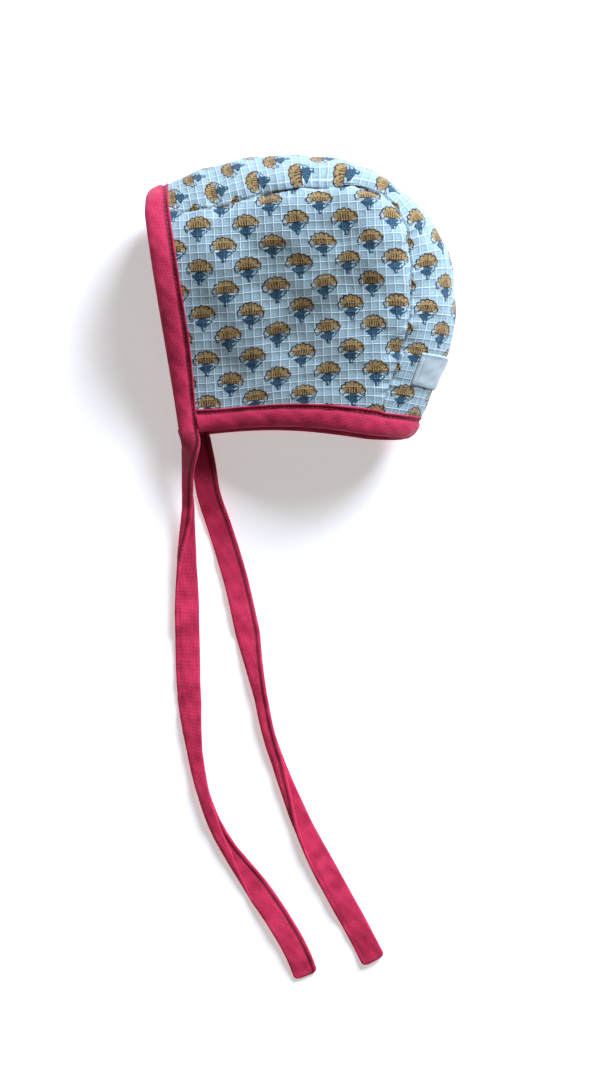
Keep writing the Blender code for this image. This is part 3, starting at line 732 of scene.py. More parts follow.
def crimsonCotton(name, start, onward):          # pairs of a dark and a light colour; the first pair is painted shade, fading into the second along each tie
    material, tree, made = clothMaterial(name, [("cloudy", 0.12, 2.0), ("fuzz", 2.6, 3.0)])
    turn = math.pi * math.sqrt(2) / crimson["thread"]
    addSteps(tree, made, [
        ("warp", "ADD", "x", "y"),                           # bias: the threads run diagonally
        ("weft", "SUBTRACT", "x", "y"),
        ("warpTurn", "MULTIPLY", "warp", turn),
        ("weftTurn", "MULTIPLY", "weft", turn),
        ("warpWave", "SINE", "warpTurn"),
        ("weftWave", "SINE", "weftTurn"),
        ("weave", "MULTIPLY", "warpWave", "weftWave"),
        ("height", "MULTIPLY_ADD", "weave", 0.3, "fuzz"),
        ("cloudyPart", "MULTIPLY", "cloudy", 0.6),
        ("tone", "MULTIPLY_ADD", "fuzz", 1.4, "cloudyPart"),
        ("toneShare", "MULTIPLY_ADD*", "tone", 1.9, -1.35),
        ("share", "MULTIPLY_ADD*", "weave", 0.18, "toneShare"),
        # painted shade along the stitch groove, from the mark the meshes carry
        ("grooveShare", "MULTIPLY*", "mark", 0.8),
        ("start", "MIX", "share", *map(fromHex, start)),
        ("onward", "MIX", "share", *map(fromHex, onward)),
        # painted shade near each tie's start, fading out along the tape
        ("startShadeFade", "MULTIPLY*", "x", 1.0 / crimson["startReach"]),
        ("cloth", "MIX", "startShadeFade", "start", "onward"),
        ("colour", "MIX", "grooveShare", "cloth", fromHex(crimson["groove"])),
    ])
    return finishCloth(material, made, crimson["relief"], crimson["surface"])


printed = printGroup()
clothFace = printedCotton("block printed cotton", printed, 1.0)
clothBack = printedCotton("block printed cotton wrong side", printed, cotton["showThrough"])
bindingCloth = crimsonCotton("crimson cotton binding", crimson["binding"], crimson["binding"])
tieCloth = crimsonCotton("crimson cotton tape", crimson["tapeStartShade"], crimson["tape"])
print("materials made")


def dress(piece, node):    # on the body, in place of the plain solid
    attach(piece, "root")
    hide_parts(node)


# Bindings: depth in from the cloth's edge and height above its outer face, in mm, from the upper lip
# over the fold to the lower lip
binding = {
    "profile": [
        (10.50, 0.10), (10.58, 0.55), (10.48, 0.90), (10.20, 1.04), (9.85, 1.00), (9.50, 0.78), (9.15, 0.46),
        (8.75, 0.26), (8.30, 0.22), (7.90, 0.38), (7.50, 0.80), (7.05, 1.22), (6.30, 1.56), (5.20, 1.76),
        (3.90, 1.82), (2.60, 1.78), (1.30, 1.62), (0.20, 1.34), (-0.80, 0.88), (-1.50, 0.30), (-1.90, -0.30),
        (-2.00, -0.70),
    ],
    "grooveDepth": 8.5,
    "grooveHeight": 0.24,
    "grooveShadeWidth": 1.15,             # half of it, the band of painted shade where the stitches draw the cloth in
    "stationGap": 0.9 * mm,
    "thickness": 0.45 * mm,
    "lipFlat": 0.55,                 # of the lip's height, lost where the binding goes round the crown
    "endSettle": 12 * mm,            # the waves die away over this length at each end
    "endRow": 0.06,                  # of a step: a row beside each cut end keeps the shading of the two apart
    "cornerNarrow": 0.25,            # of the lip's depth, lost where the face binding turns down to the tie
    "cornerReach": 50 * mm,
    "napePull": 2.2 * mm,            # of the free edge, inwards, where the neck binding goes round the nape
    "napeReach": 12 * mm,
}
bindingWaves = [(23, 0, 0.7, 0.14), (13, 35, 1.9, 0.15), (8.1, -40, 0.2, 0.11), (5.7, 50, 2.2, 0.07)]


def lipShare(run):                   # of the binding's depth, by the distance from the raised panel's corner
    return 1.0 - binding["cornerNarrow"] * (1.0 - smoothStep(run / binding["cornerReach"]))


def napePull(depth, normals):        # metres inwards, for depths in from the neck edge
    free = np.clip(1.0 - depth / binding["napeReach"], 0.0, 1.2)
    return binding["napePull"] * free * (1.0 - normals[..., 2] ** 2) ** 1.5


def smoothAlong(values, reach=2):    # a light running average along the first axis, the ends kept
    before = 2 * values[:1] - values[reach:0:-1]
    after = 2 * values[-1:] - values[-2:-reach - 2:-1]
    padded = np.concatenate([before, values, after])
    weights = [math.exp(-(step / reach) ** 2 * 1.5) for step in range(-reach, reach + 1)]
    total = sum(weight * padded[at:at + len(values)] for at, weight in enumerate(weights))
    return total / sum(weights)


# Ties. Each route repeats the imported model's: x, y, z in metres and the share of the width that shows.
tie = {
    "width": 0.0126,
    "thickness": 1.7 * mm,
    "lead": 0.005,
    "stitchInset": 2.3 * mm,
    "overlap": 2.4 * mm,             # of the tie over the end of the face binding
    "layerRadius": 0.95 * mm,        # of the cloth's turn where the tie folds over on itself
    "stationGap": 0.5 * mm,
    "cornerRadius": 2.6 * mm,        # of the sewn end
    "ringHalf": 30,                  # points across each face
    "startShare": 0.80,              # of the width, where the near tie leaves the narrowed binding
    "startReach": 0.04,
    "blendLength": 16 * mm,          # from the binding's section to the flat tape's
    "dip": 0.22 * mm,                # of the tie's end, into the binding
    "leanReach": 0.012,
    "leanLift": 0.42,                # of the width, so that a leaning tape stands on its lower edge
    "looseReach": 0.02,
}
tieRoutes = {
    "tie_left": [
        (-0.0557, -0.0850, 0.0160, 0.74), (-0.0564, -0.1002, 0.0105, 0.55), (-0.0573, -0.1236, 0.0060, 0.75),
        (-0.0574, -0.1462, 0.0036, 0.95), (-0.0572, -0.1719, 0.0018, 1.05), (-0.0564, -0.1975, 0.0018, 0.98),
        (-0.0535, -0.2281, 0.0024, 0.62), (-0.0493, -0.2486, 0.0028, 0.44), (-0.0438, -0.2650, 0.0026, 0.44),
        (-0.0354, -0.2800, 0.0020, 0.60), (-0.0228, -0.2976, 0.0014, 0.92), (-0.0108, -0.3151, 0.0014, 1.00),
        (-0.0016, -0.3311, 0.0014, 0.98), (0.0038, -0.3444, 0.0014, 0.90),
    ],
    "tie_right": [
        (-0.0488, -0.0826, 0.0018, 0.98), (-0.0462, -0.0975, 0.0016, 0.95), (-0.0411, -0.1129, 0.0014, 0.98),
        (-0.0362, -0.1283, 0.0014, 1.05), (-0.0318, -0.1437, 0.0014, 1.05), (-0.0272, -0.1642, 0.0014, 0.92),
        (-0.0236, -0.1821, 0.0018, 0.76), (-0.0197, -0.2000, 0.0024, 0.56), (-0.0154, -0.2205, 0.0028, 0.46),
        (-0.0103, -0.2359, 0.0026, 0.52), (-0.0044, -0.2514, 0.0022, 0.64), (0.0020, -0.2668, 0.0018, 0.80),
        (0.0113, -0.2859, 0.0014, 0.96), (0.0218, -0.3054, 0.0014, 1.00), (0.0303, -0.3208, 0.0014, 1.00),
        (0.0385, -0.3367, 0.0014, 0.92),
    ],
}
# Where each tie turns over on itself: y of the place, and the fold line's distance from the tape's
# middle as a share of its width. Each list carries it once across the tape, from one edge to the other.
tieTurns = {
    "tie_left": [
        [(-0.067, -0.64), (-0.075, -0.52), (-0.083, -0.36), (-0.091, -0.17), (-0.0985, -0.04), (-0.110, 0.04),
         (-0.1236, 0.20), (-0.1315, 0.30), (-0.150, 0.46), (-0.166, 0.64)],
        [(-0.196, -0.64), (-0.2281, -0.14), (-0.2486, -0.03), (-0.265, 0.03), (-0.280, 0.14), (-0.2976, 0.42),
         (-0.312, 0.64)],
    ],
    "tie_right": [
        [(-0.160, -0.64), (-0.1821, -0.27), (-0.200, -0.07), (-0.2205, -0.01), (-0.2359, 0.03),
         (-0.2514, 0.15), (-0.2668, 0.31), (-0.2859, 0.47), (-0.302, 0.64)],
    ],
}
# (y, half length, degrees): how far the band leans there, its right edge up where negative
tieLeans = {
    "tie_left": [(-0.083, 0.015, -47.0), (-0.104, 0.013, -20.0), (-0.158, 0.022, 10.0),
                 (-0.205, 0.020, -15.0), (-0.255, 0.018, -12.0), (-0.318, 0.016, 10.0)],
    "tie_right": [(-0.095, 0.020, -14.0), (-0.150, 0.014, 9.0), (-0.200, 0.022, -15.0), (-0.285, 0.030, 11.0),
                  (-0.325, 0.010, -9.0)],
}
tieWaves = [(31, 0, 0.4, 0.30), (17, 0, 2.1, 0.20), (9.3, 0, 0.9, 0.09)]
tieWrinkles = [(13, 62, 0.3, 0.16), (7.4, 35, 1.3, 0.09), (5.2, 110, 0.2, 0.05)]


def tieStart(panel):                 # middle of the binding's end, its direction and the way across
    endRun = np.array(-shape["foldReach"] - shape["fitGap"])
    depth = lipDepth * (lipShare(0.0) if panel["raised"] else 1.0)
    point, normal = edgeFrame(panel, 0, endRun, np.array(0.5 * (depth - shape["foldReach"])))
    lip, _ = edgeFrame(panel, 0, endRun, np.array(depth))
    fold, _ = edgeFrame(panel, 0, endRun, np.array(0.0))
    direction = -unit(edgeRay(panel, 0))
    direction = unit(direction - normal * np.dot(direction, normal))
    return point - normal * 0.5 * shape["cloth"], direction, unit(lip - fold)


def tieFrames(name, panel):          # centre, side and face of the band at even steps
    start, direction, startSide = tieStart(panel)
    lead = start + direction * tie["lead"]
    start = start - direction * tie["overlap"]
    route = np.array(tieRoutes[name])
    route[:, :3] += flat(planShift)
    if not panel["raised"]:
        lead[2] = route[0, 2]
    rows = np.vstack([[*start, 1.0], [*lead, 1.0], route])
    fine = smoothRows(rows, np.linspace(0.0, 1.0, 1200))
    lengths = runningLength(fine[:, :3])
    count = int(lengths[-1] / tie["stationGap"])
    shares = np.interp(np.linspace(0.0, lengths[-1], count), lengths, np.linspace(0.0, 1.0, 1200))
    centre = smoothRows(rows, shares)[:, :3]
    tangent = unit(smoothRows(rows, shares + 0.002)[:, :3] - smoothRows(rows, shares - 0.002)[:, :3])
    atEnd = 1.0 - smoothStep(shares * (len(rows) - 1))[:, None]
    side = unit(np.cross(up, tangent)) * (1.0 - atEnd) + startSide * atEnd
    return centre, side, unit(np.cross(tangent, side)), np.linspace(0.0, lengths[-1], count)


def tapeRing():                      # across the tape, its height there and the painted shade of its groove, round the section
    across = 0.5 * np.cos(np.linspace(math.pi, 0.0, tie["ringHalf"]))
    across = 0.35 * across + 0.65 * np.linspace(-0.5, 0.5, tie["ringHalf"])
    inset = 0.5 - tie["stitchInset"] / tie["width"]
    edge = np.sqrt(np.clip(1.0 - (np.abs(across) / 0.5) ** 14, 0.0, 1.0))
    groove = bump(across, inset, 0.055)
    height = 0.5 * tie["thickness"] * edge * (1.0 - 0.62 * groove + 0.12 * bump(across, -0.1, 0.28))
    plain = 0.5 * tie["thickness"] * edge * (1.0 - 0.15 * groove)    # the seam shows less underneath
    depths, heights = np.array(binding["profile"]).T
    middle = 0.5 * (lipDepth - shape["foldReach"])
    start = np.interp((middle + across * tie["width"]) / mm, depths[::-1], heights[::-1]) * mm
    start = (start + 0.5 * shape["cloth"] + 0.05 * mm) * edge
    back = slice(-2, 0, -1)
    return {
        "across": np.concatenate([across, across[back]]) * tie["width"],
        "height": np.concatenate([height, -plain[back]]),
        "start": np.concatenate([start, -start[back]]),
        "groove": np.concatenate([groove, 0.2 * groove[back]]),
    }


def foldOver(across, height, fold, radius):      # what lies left of the fold goes back under the rest
    quarter = 0.5 * math.pi * radius
    centre = fold + radius
    angle = np.clip((fold + quarter - across) / radius, 0.0, math.pi)
    x = centre - (radius + height) * np.sin(angle)
    z = (radius + height) * np.cos(angle)
    x = x + np.maximum(0.0, across - fold - quarter) + np.maximum(0.0, fold - quarter - across)
    return x, z


def buildTie(name, panel):
    centre, side, face, lengths = tieFrames(name, panel)
    ring = tapeRing()
    width, radius = tie["width"], tie["layerRadius"]
    y = centre[:, 1] - planShift[1]
    turn = np.full(len(y), -0.75 * width)
    facing = np.ones(len(y))
    for at, rows in enumerate(tieTurns[name]):
        places, shares = np.array(rows).T
        active = y <= places[0]
        turn = np.where(active, np.interp(-y, -places, shares) * width, turn)
        facing = np.where(active, (-1.0) ** at, facing)
    if len(tieTurns[name]) == 1:     # with two turns, the step between them stays sharp
        turn = smoothAlong(turn, 5)
    flatShare = smoothStep(lengths / tie["blendLength"])[:, None]
    height = ring["start"] * (1.0 - flatShare) + ring["height"] * flatShare
    toEnd = np.clip(1.0 - (lengths[-1] - lengths) / tie["cornerRadius"], 0.0, 1.0)
    narrow = 1.0 - 2.0 * tie["cornerRadius"] / width * (1.0 - np.sqrt(1.0 - toEnd ** 2))
    if panel["raised"]:
        grown = smoothStep(lengths / tie["startReach"])
        narrow = narrow * (tie["startShare"] + (1.0 - tie["startShare"]) * grown)
    height = height * (1.0 - 0.6 * toEnd[:, None] ** 4)
    height = height - np.sign(height) * (tie["dip"] * (1.0 - smoothStep(lengths / (2 * mm))))[:, None]
    acrossTape = ring["across"][None] * (facing * narrow)[:, None]
    x, z = foldOver(acrossTape, height * facing[:, None], turn[:, None], radius)
    margin = 0.5 * math.pi * radius
    settled = smoothStep((0.5 * width + margin - np.abs(turn)) / (0.25 * width))     # 0 flat, 1 folded
    z = z - (np.sign(-turn) * radius * (1.0 - settled))[:, None]
    x = x - (0.5 * (x.max(1) + x.min(1)) * smoothStep(lengths / 0.006))[:, None]
    lean = sum(math.radians(angle) * bump(y, at, spread) for at, spread, angle in tieLeans[name])
    lean = (lean * smoothStep(lengths / tie["leanReach"]))[:, None]
    x, z = x * np.cos(lean) + z * np.sin(lean), z * np.cos(lean) - x * np.sin(lean)
    lying = 1.0 - smoothStep((centre[:, 2] - 3 * mm) / (7 * mm))[:, None]    # no lift up in the air
    z = z + np.abs(np.sin(lean)) * tie["leanLift"] * width * lying
    loose = smoothStep(lengths / tie["looseReach"])[:, None]
    z = z + loose * (ripples(tieWaves, lengths)[:, None] + ripples(tieWrinkles, lengths[:, None], x))
    points = centre[:, None] + side[:, None] * x[..., None] + face[:, None] * z[..., None]
    points[..., 2] = np.maximum(points[..., 2], 0.05 * mm)
    size = points.shape[:2]
    # the third place carries the painted shade of the stitch groove
    places = np.stack([np.broadcast_to(lengths[:, None] / mm, size), acrossTape / mm,
                       np.broadcast_to(ring["groove"], size)], axis=-1)
    rows, columns = size
    faces = gridFaces(rows, columns, closed=True)
    faces.append([(rows - 1) * columns + column for column in range(columns)])
    piece = meshOf(name + "_tape", points, faces, places)
    piece.data.materials.append(tieCloth)
    dress(piece, name)


for tieName, tiePanel in (("tie_left", raisedPanel), ("tie_right", lowerPanel)):
    buildTie(tieName, tiePanel)
print("ties laid")


# Cloth panels. The relief is in metres, added along the cloth's normal.
panelCloth = {
    "thickness": 0.9 * mm,
    "reachCells": 128,
    "alongCells": 330,
    "acrossCells": 108,
    "allowance": 4.0 * mm,           # of cloth turned in at the seam
    "rollRadius": 2.6 * mm,
    "rollDepth": 2.1 * mm,
    "sag": 7.0 * mm,                 # how far the cloth falls in between the bindings that hold it up
    "sagReach": 40 * mm,
    "seamReach": 52 * mm,
    "cornerStart": 0.006,            # the cloth begins this far from the corner, under both bindings
    "settleReach": 0.01,
    "ridgePlace": (0.66, 3.6 * mm),  # a low fold beside the seam: along it, and away from it
    "ridgeSpread": (0.11, 3.0 * mm),
    "ridgeHeight": 1.3 * mm,
    "turnedIn": 0.4 * mm,
    "cut": (0.136, 0.146),
    "cutArea": 0.0145,               # a rounded quarter, with its seam allowance
    "motifPlace": (-1.2 * mm, -8.9 * mm),        # one motif of the raised panel, in the frame
    "printTurn": math.radians(2.8),
}
softWaves = [(41, 25, 0.3, 0.55), (29, 118, 1.9, 0.36), (19, 70, 0.7, 0.20), (15, 160, 2.6, 0.15),
             (11, 40, 1.1, 0.09), (8.3, 100, 0.2, 0.06)]
seamWaves = [(5.1, 0, 0.4, 0.26), (7.9, 0, 1.7, 0.26), (12.7, 0, 0.2, 0.32)]
# how far the seam is drawn in along its run: hardly at the face, most at the tuck above, softly behind
seamPulls = [(0.0, 0.15), (0.16, 0.20), (0.27, 0.65), (0.36, 0.90), (0.44, 0.70), (0.52, 0.45), (0.70, 0.40),
             (0.86, 0.22), (1.0, 0.12)]


def seamRun(along):                  # metres along the raised seam
    fine = np.linspace(0.0, 1.0, 400)
    return np.interp(along, fine, runningLength(sectionAt(fine)["seam"]))


def rollIn(distance):                # both cloths turn down into the seam
    part = np.clip(1.0 - distance / panelCloth["rollRadius"], 0.0, 1.0)
    return panelCloth["rollDepth"] * (1.0 - np.sqrt(1.0 - 0.96 * part ** 2))


def fineSeam(along, distance, phase):
    free = 1.0 - edgeShare(along)
    pulls = ripples(seamWaves, seamRun(along) + phase * mm) * np.exp(-distance / (5 * mm)) * free
    return pulls - rollIn(distance) * np.interp(along, *np.array(seamPulls).T)


def allowanceAt(along):              # cut away where the bindings close over the seam
    return panelCloth["allowance"] * (0.1 + 0.9 * smoothStep(1.0 - 1.2 * edgeShare(along)))


def sidePanelSheet(name, panel, flip):
    shares = 1.0 - (1.0 - np.linspace(0.0, 1.0, panelCloth["reachCells"])) ** 1.25
    alongs = np.linspace(0.0, 1.0, panelCloth["alongCells"])
    share, along = np.meshgrid(shares, alongs, indexing="ij")
    rays = flat(seamOf(panel, sectionAt(along)) - panel["corner"])
    length = np.linalg.norm(rays, axis=-1)
    run = panelCloth["cornerStart"] + share * (length - panelCloth["cornerStart"] - 0.1 * mm)
    plan = panel["corner"] + unit(rays) * run[..., None]
    points = panelPoint(panel, plan[..., 0], plan[..., 1])
    normals = gridNormals(points)
    normals *= np.sign(normals[..., 2:3]) * (1.0 if panel["raised"] else -1.0)
    distance = length - run
    x, y = plan[..., 0], plan[..., 1]
    if panel["raised"]:
        fromEdges = edgeDistances(panel, x, y)
        soft = ripples(softWaves, x, y) * (1.0 - boundShare(np.minimum(*fromEdges)))
        soft = soft * smoothStep(distance / panelCloth["settleReach"])
        sag = panelCloth["sag"] * smoothStep(distance / panelCloth["seamReach"])
        for far in fromEdges:
            free = np.maximum(far - shape["bindingWidth"], 0.0)
            sag = sag * (1.0 - bump(free, 0.0, panelCloth["sagReach"]))
        soft = soft - sag
        ridge = spot(along, distance, panelCloth["ridgePlace"], panelCloth["ridgeSpread"])
        relief = soft + panelCloth["ridgeHeight"] * ridge + fineSeam(along, distance, 0.0)
    else:
        relief = -rollIn(distance)
        relief = np.where(points[..., 2] + relief * normals[..., 2] < 0.0, 0.0, relief)
    points = points + normals * relief[..., None]
    turnX, turnY = math.cos(panelCloth["printTurn"]), math.sin(panelCloth["printTurn"])
    fromX, fromY = x - panelCloth["motifPlace"][0], y - panelCloth["motifPlace"][1]
    places = np.stack([(fromX * turnX + fromY * turnY) / mm, (fromY * turnX - fromX * turnY) / mm,
                       np.zeros_like(x)], axis=-1)
    # the seam allowance, turned in
    inside = points[-1] - normals[-1] * allowanceAt(alongs)[:, None] - unit(rays[-1]) * panelCloth["turnedIn"]
    points = np.concatenate([points, inside[None]])
    places = np.concatenate([places, places[-1:]])
    sheet = clothSheet(name + "_cloth", points, places, panelCloth["thickness"], [clothFace, clothBack], flip)
    dress(sheet, name)


sidePanelSheet("side_panel_left", raisedPanel, False)
sidePanelSheet("side_panel_right", lowerPanel, True)
print("side panels made")


# Label, sewn flat on the crown strip near the nape
label = {
    "centre": (0.286, 0.846),        # across and along the crown strip
    "across": 25.0 * mm,
    "along": 17.5 * mm,
    "thickness": 0.5 * mm,
    "lift": 0.5 * mm,
    "turn": math.radians(-1.0),
    "foldedEnd": 2.4 * mm,           # of the tape, turned under at each end
    "foldRise": 0.28 * mm,
    "droop": 0.6 * mm,               # of the rim, down to the cloth
    "border": 1.5 * mm,
    "waves": [(19, 20, 0.5, 0.16), (9, 110, 1.1, 0.10), (5, 60, 0.3, 0.05)],
    "cells": (100, 64),
    "ribGap": 1.1,                   # mm, coarser than real so that it shows
    "colours": ("#84979c", "#c2d0d2"),
    # the woven border's darker colour, also used as painted shade at each folded end
    "borderAndFoldShade": "#73868d",
    "relief": (0.8, 0.12 * mm),
    "surface": {"Roughness": 0.6, "Sheen Weight": 0.2},
}
strip = {
    "cut": (0.082, 0.310),
    "cutArea": 0.0200,               # narrower at the nape
    "tuckPlace": (0.335, 3.8 * mm),  # along the seam, and away from it
    "tuckSpread": (0.085, 4.2 * mm),
    "tuckStart": 2.6 * mm,
    "tuckRise": 2.4 * mm,
    "tuckOver": 5.2 * mm,            # the strip's cloth leans over the side panel at the top
    "settleReach": 0.008,            # the soft waves begin this far from each seam
    "labelSpread": (0.22, 0.085),    # the cloth lies smooth round the label
    "motifPlace": (8.0, 208.0),      # mm from the raised seam, and along it from the nape
    "printStretch": 0.967,
}
stripWaves = [(29, 10, 0.8, 0.35), (21, 75, 0.1, 0.30), (16, 140, 2.0, 0.18), (10.5, 60, 1.2, 0.10),
              (7.7, 20, 0.4, 0.06)]


def crownStripSheet():
    alongs = np.linspace(0.0, 1.0, panelCloth["alongCells"])
    across, along = np.meshgrid(np.linspace(0.0, 1.0, panelCloth["acrossCells"]), alongs, indexing="ij")
    points, normals = stripFrame(across, along)
    fromSeam = runningLength(points)
    fromUnder = fromSeam[-1:] - fromSeam
    lengths = runningLength(sectionAt(alongs)["seam"])
    v = lengths[-1] - np.broadcast_to(lengths[None], across.shape)
    free = 1.0 - edgeShare(along)
    soft = ripples(stripWaves, fromSeam, v) * free
    for distance in (fromSeam, fromUnder):
        soft = soft * smoothStep(distance / strip["settleReach"])
    tuck = spot(along, fromSeam, strip["tuckPlace"], strip["tuckSpread"])
    tuck = tuck * smoothStep(fromSeam / strip["tuckStart"]) * free
    underLabel = spot(across, along, label["centre"], strip["labelSpread"])
    soft = soft * (1.0 - smoothStep(1.6 * underLabel))
    relief = soft + strip["tuckRise"] * tuck + fineSeam(along, fromSeam, 2.0) - rollIn(fromUnder)
    relief = relief - napePull(v, normals)
    points = points + normals * relief[..., None]
    points -= sectionAt(along)["outward"] * (strip["tuckOver"] * tuck)[..., None]
    points[..., 2] = np.maximum(points[..., 2], 0.02 * mm)
    places = np.stack([fromSeam / mm - strip["motifPlace"][0],
                       (v / mm - strip["motifPlace"][1]) / strip["printStretch"], np.zeros_like(v)], axis=-1)
    inner = points[0] - normals[0] * allowanceAt(alongs)[:, None]
    under = points[-1] - normals[-1] * allowanceAt(alongs)[:, None]
    points = np.concatenate([inner[None], points, under[None]])
    places = np.concatenate([places[:1], places, places[-1:]])
    sheet = clothSheet("crown_strip_cloth", points, places, panelCloth["thickness"],
                       [clothFace, clothBack], False)
    dress(sheet, "crown_strip")


crownStripSheet()
print("crown strip made")


# The bound edges, from the raised panel round the strip to the lower panel
def edgeStations(edge, depths):      # points and normals of the cloth beside its whole bound edge
    found = []
    firstRun = lipDepth + shape["fitGap"] if edge == 1 else -shape["foldReach"]
    across = np.linspace(0.0, 1.0, 81)[1:-1]
    for part in ("raised", "strip", "lower"):
        if part == "strip":
            step = 0.01 if edge == 0 else -0.01
            here, inward = (stripPoint(across, np.full_like(across, float(at))) for at in (edge, edge + step))
            perShare = np.linalg.norm(inward - here, axis=-1) / abs(step)
            share = depths[None] / perShare[:, None]
            found.append(stripFrame(across[:, None], share if edge == 0 else 1.0 - share))
            continue
        panel = raisedPanel if part == "raised" else lowerPanel
        length = np.linalg.norm(edgeRay(panel, edge))
        begin = firstRun - binding["cornerNarrow"] * lipDepth if part == "raised" and edge == 1 else firstRun
        runs = np.linspace(begin, length, int((length - begin) / binding["stationGap"]))
        if part == "lower":
            runs = runs[::-1]
        run, depth = np.meshgrid(runs, depths, indexing="ij")
        if part == "raised" and edge == 0:
            depth = depth * lipShare(run)
        found.append(edgeFrame(panel, edge, run, depth))
    points, normals = (np.concatenate([pair[at] for pair in found]) for at in (0, 1))
    return smoothAlong(points), unit(smoothAlong(normals))


def bindingPoints(edge, rows):       # rows of (depth mm, height mm)
    rows = np.array(rows) * mm
    depths = np.maximum(rows[:, 0], 0.0)
    points, normals = edgeStations(edge, np.append(depths, (0.0, 2 * mm)))
    outward = unit(points[:, -1] - points[:, -2])
    points, normals = points[:, :-2], normals[:, :-2]
    past = np.minimum(rows[:, 0], 0.0)
    points = points + outward[:, None] * past[None, :, None]
    lengths = runningLength(points[:, len(rows) // 2])
    waves = ripples(bindingWaves, lengths[:, None], rows[None, :, 0])
    fromMiddle = rows[:, 1] + 0.5 * shape["cloth"]
    proud = np.clip(np.abs(fromMiddle) / (1.6 * mm), 0.0, 1.0) * np.sign(rows[:, 1] + 0.7 * mm)
    toEnd = np.minimum(lengths, lengths[-1] - lengths)[:, None]
    heights = rows[None, :, 1] + waves * proud[None] * smoothStep(toEnd / binding["endSettle"])
    overLip = smoothStep((rows[None, :, 0] / mm - 8.4) / 1.2) * (rows[None, :, 1] > -0.5 * shape["cloth"])
    heights = heights * (1.0 - binding["lipFlat"] * overLip * (1.0 - np.abs(normals[..., 2])))
    if edge == 1:
        heights = heights - napePull(rows[None, :, 0], normals)
    return points + normals * heights[..., None], normals, lengths


def fullProfile():
    upper = binding["profile"]
    lower = [(depth, -height - shape["cloth"] / mm) for depth, height in reversed(upper[:-1])]
    return upper + lower


def edgeBinding(name, edge):
    rows = fullProfile()
    points = bindingPoints(edge, rows)[0]
    points[..., 2] = np.maximum(points[..., 2], 0.0)
    beside = (1.0 - binding["endRow"]) * points[[0, -1]] + binding["endRow"] * points[[1, -2]]
    points = np.concatenate([points[:1], beside[:1], points[1:-1], beside[1:], points[-1:]])
    lengths = runningLength(points[:, len(rows) // 2])
    around = runningLength(np.array(rows))
    # the band of painted shade along the stitch groove, carried to the material as a mark
    groove = bump(np.array(rows)[:, 0], binding["grooveDepth"], binding["grooveShadeWidth"])
    size = points.shape[:2]
    places = np.stack([np.broadcast_to(lengths[:, None] / mm, size), np.broadcast_to(around, size),
                       np.broadcast_to(groove, size)], axis=-1)
    sheet = clothSheet(name + "_cloth", points, places, binding["thickness"], [bindingCloth], edge == 0)
    dress(sheet, name)


for bindingName, bindingEdge in (("face_binding", 0), ("neck_binding", 1)):
    edgeBinding(bindingName, bindingEdge)
print("bindings sewn on")


# Stitches: short capsules laid in the groove of each binding, on both sides of the cloth
stitch = {
    "gap": 2.5 * mm,
    "long": 1.75 * mm,
    "thick": 0.42 * mm,
    "proud": 0.05,                   # mm above the groove
    "sides": 6,
    "rings": ((0.0, 0.25), (0.12, 0.8), (0.3, 1.0), (0.7, 1.0), (0.88, 0.8), (1.0, 0.25)),   # place and width
    "twistScale": 900.0,
    "relief": (0.4, 0.05 * mm),
    "surface": {"Base Color": fromHex("#b3284f"), "Roughness": 0.5},
}


def sewingThread():                  # polyester, smooth twisted, a little brighter than the cloth
    material, tree, _ = newMaterial("polyester sewing thread")
    twist = addNode(tree, "ShaderNodeTexNoise", inputs={"Scale": stitch["twistScale"]})
    return finishCloth(material, {"height": twist.outputs["Fac"]}, stitch["relief"], stitch["surface"])


def capsules(name, starts, ends, outwards):
    sides, rings = stitch["sides"], stitch["rings"]
    along = ends - starts
    outward = unit(outwards)
    sideways = unit(np.cross(along, outward))
    points = []
    for share, size in rings:
        for step in range(sides):
            turn = 2 * math.pi * step / sides
            around = outward * math.cos(turn) + sideways * math.sin(turn)
            points.append(starts + along * share + 0.5 * stitch["thick"] * size * around)
    points = np.stack(points, axis=1)
    template = gridFaces(len(rings), sides, closed=True)
    template += [list(range(sides))[::-1], [(len(rings) - 1) * sides + at for at in range(sides)]]
    each = len(rings) * sides
    faces = [[at * each + corner for corner in face] for at in range(len(points)) for face in template]
    piece = meshOf(name, points, faces)
    piece.data.materials.append(thread)
    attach(piece, "root")


def bindingStitches(name, edge):
    height = binding["grooveHeight"] + stitch["proud"]
    rows = [(binding["grooveDepth"], height), (binding["grooveDepth"], -height - shape["cloth"] / mm)]
    points, normals, lengths = bindingPoints(edge, rows)
    begins = np.arange(2 * mm, lengths[-1] - 3 * mm, stitch["gap"])

    def along(values, shift=0.0):    # the values at the beginning of each stitch, or a shift on
        return np.stack([np.interp(begins + shift, lengths, values[:, axis]) for axis in range(3)], -1)

    starts = np.vstack([along(points[:, side]) for side in (0, 1)])
    ends = np.vstack([along(points[:, side], stitch["long"]) for side in (0, 1)])
    capsules(name, starts, ends, np.vstack([along(normals[:, 0]), -along(normals[:, 1])]))


thread = sewingThread()
bindingStitches("face_binding_stitches", 0)
bindingStitches("neck_binding_stitches", 1)
print("stitches sewn")


def labelTape():                     # cotton tape, woven with fine slanting ribs that catch the light
    material, tree, made = clothMaterial("woven cotton tape", [("dust", 1.5, 3.0)])
    addSteps(tree, made, [
        ("slant", "MULTIPLY_ADD", "y", 1.4, "x"),
        ("turn", "MULTIPLY", "slant", 2 * math.pi / label["ribGap"]),
        ("rib", "SINE", "turn"),
        ("height", "MULTIPLY_ADD", "rib", 0.5, "dust"),
        ("share", "MULTIPLY_ADD*", "rib", 0.30, "dust"),
        ("edgeShare", "MULTIPLY*", "mark", 0.65),            # woven border, and painted shade along the step of each folded end
        ("tape", "MIX", "share", *map(fromHex, label["colours"])),
        ("colour", "MIX", "edgeShare", "tape", fromHex(label["borderAndFoldShade"])),
    ])
    return finishCloth(material, made, label["relief"], label["surface"])


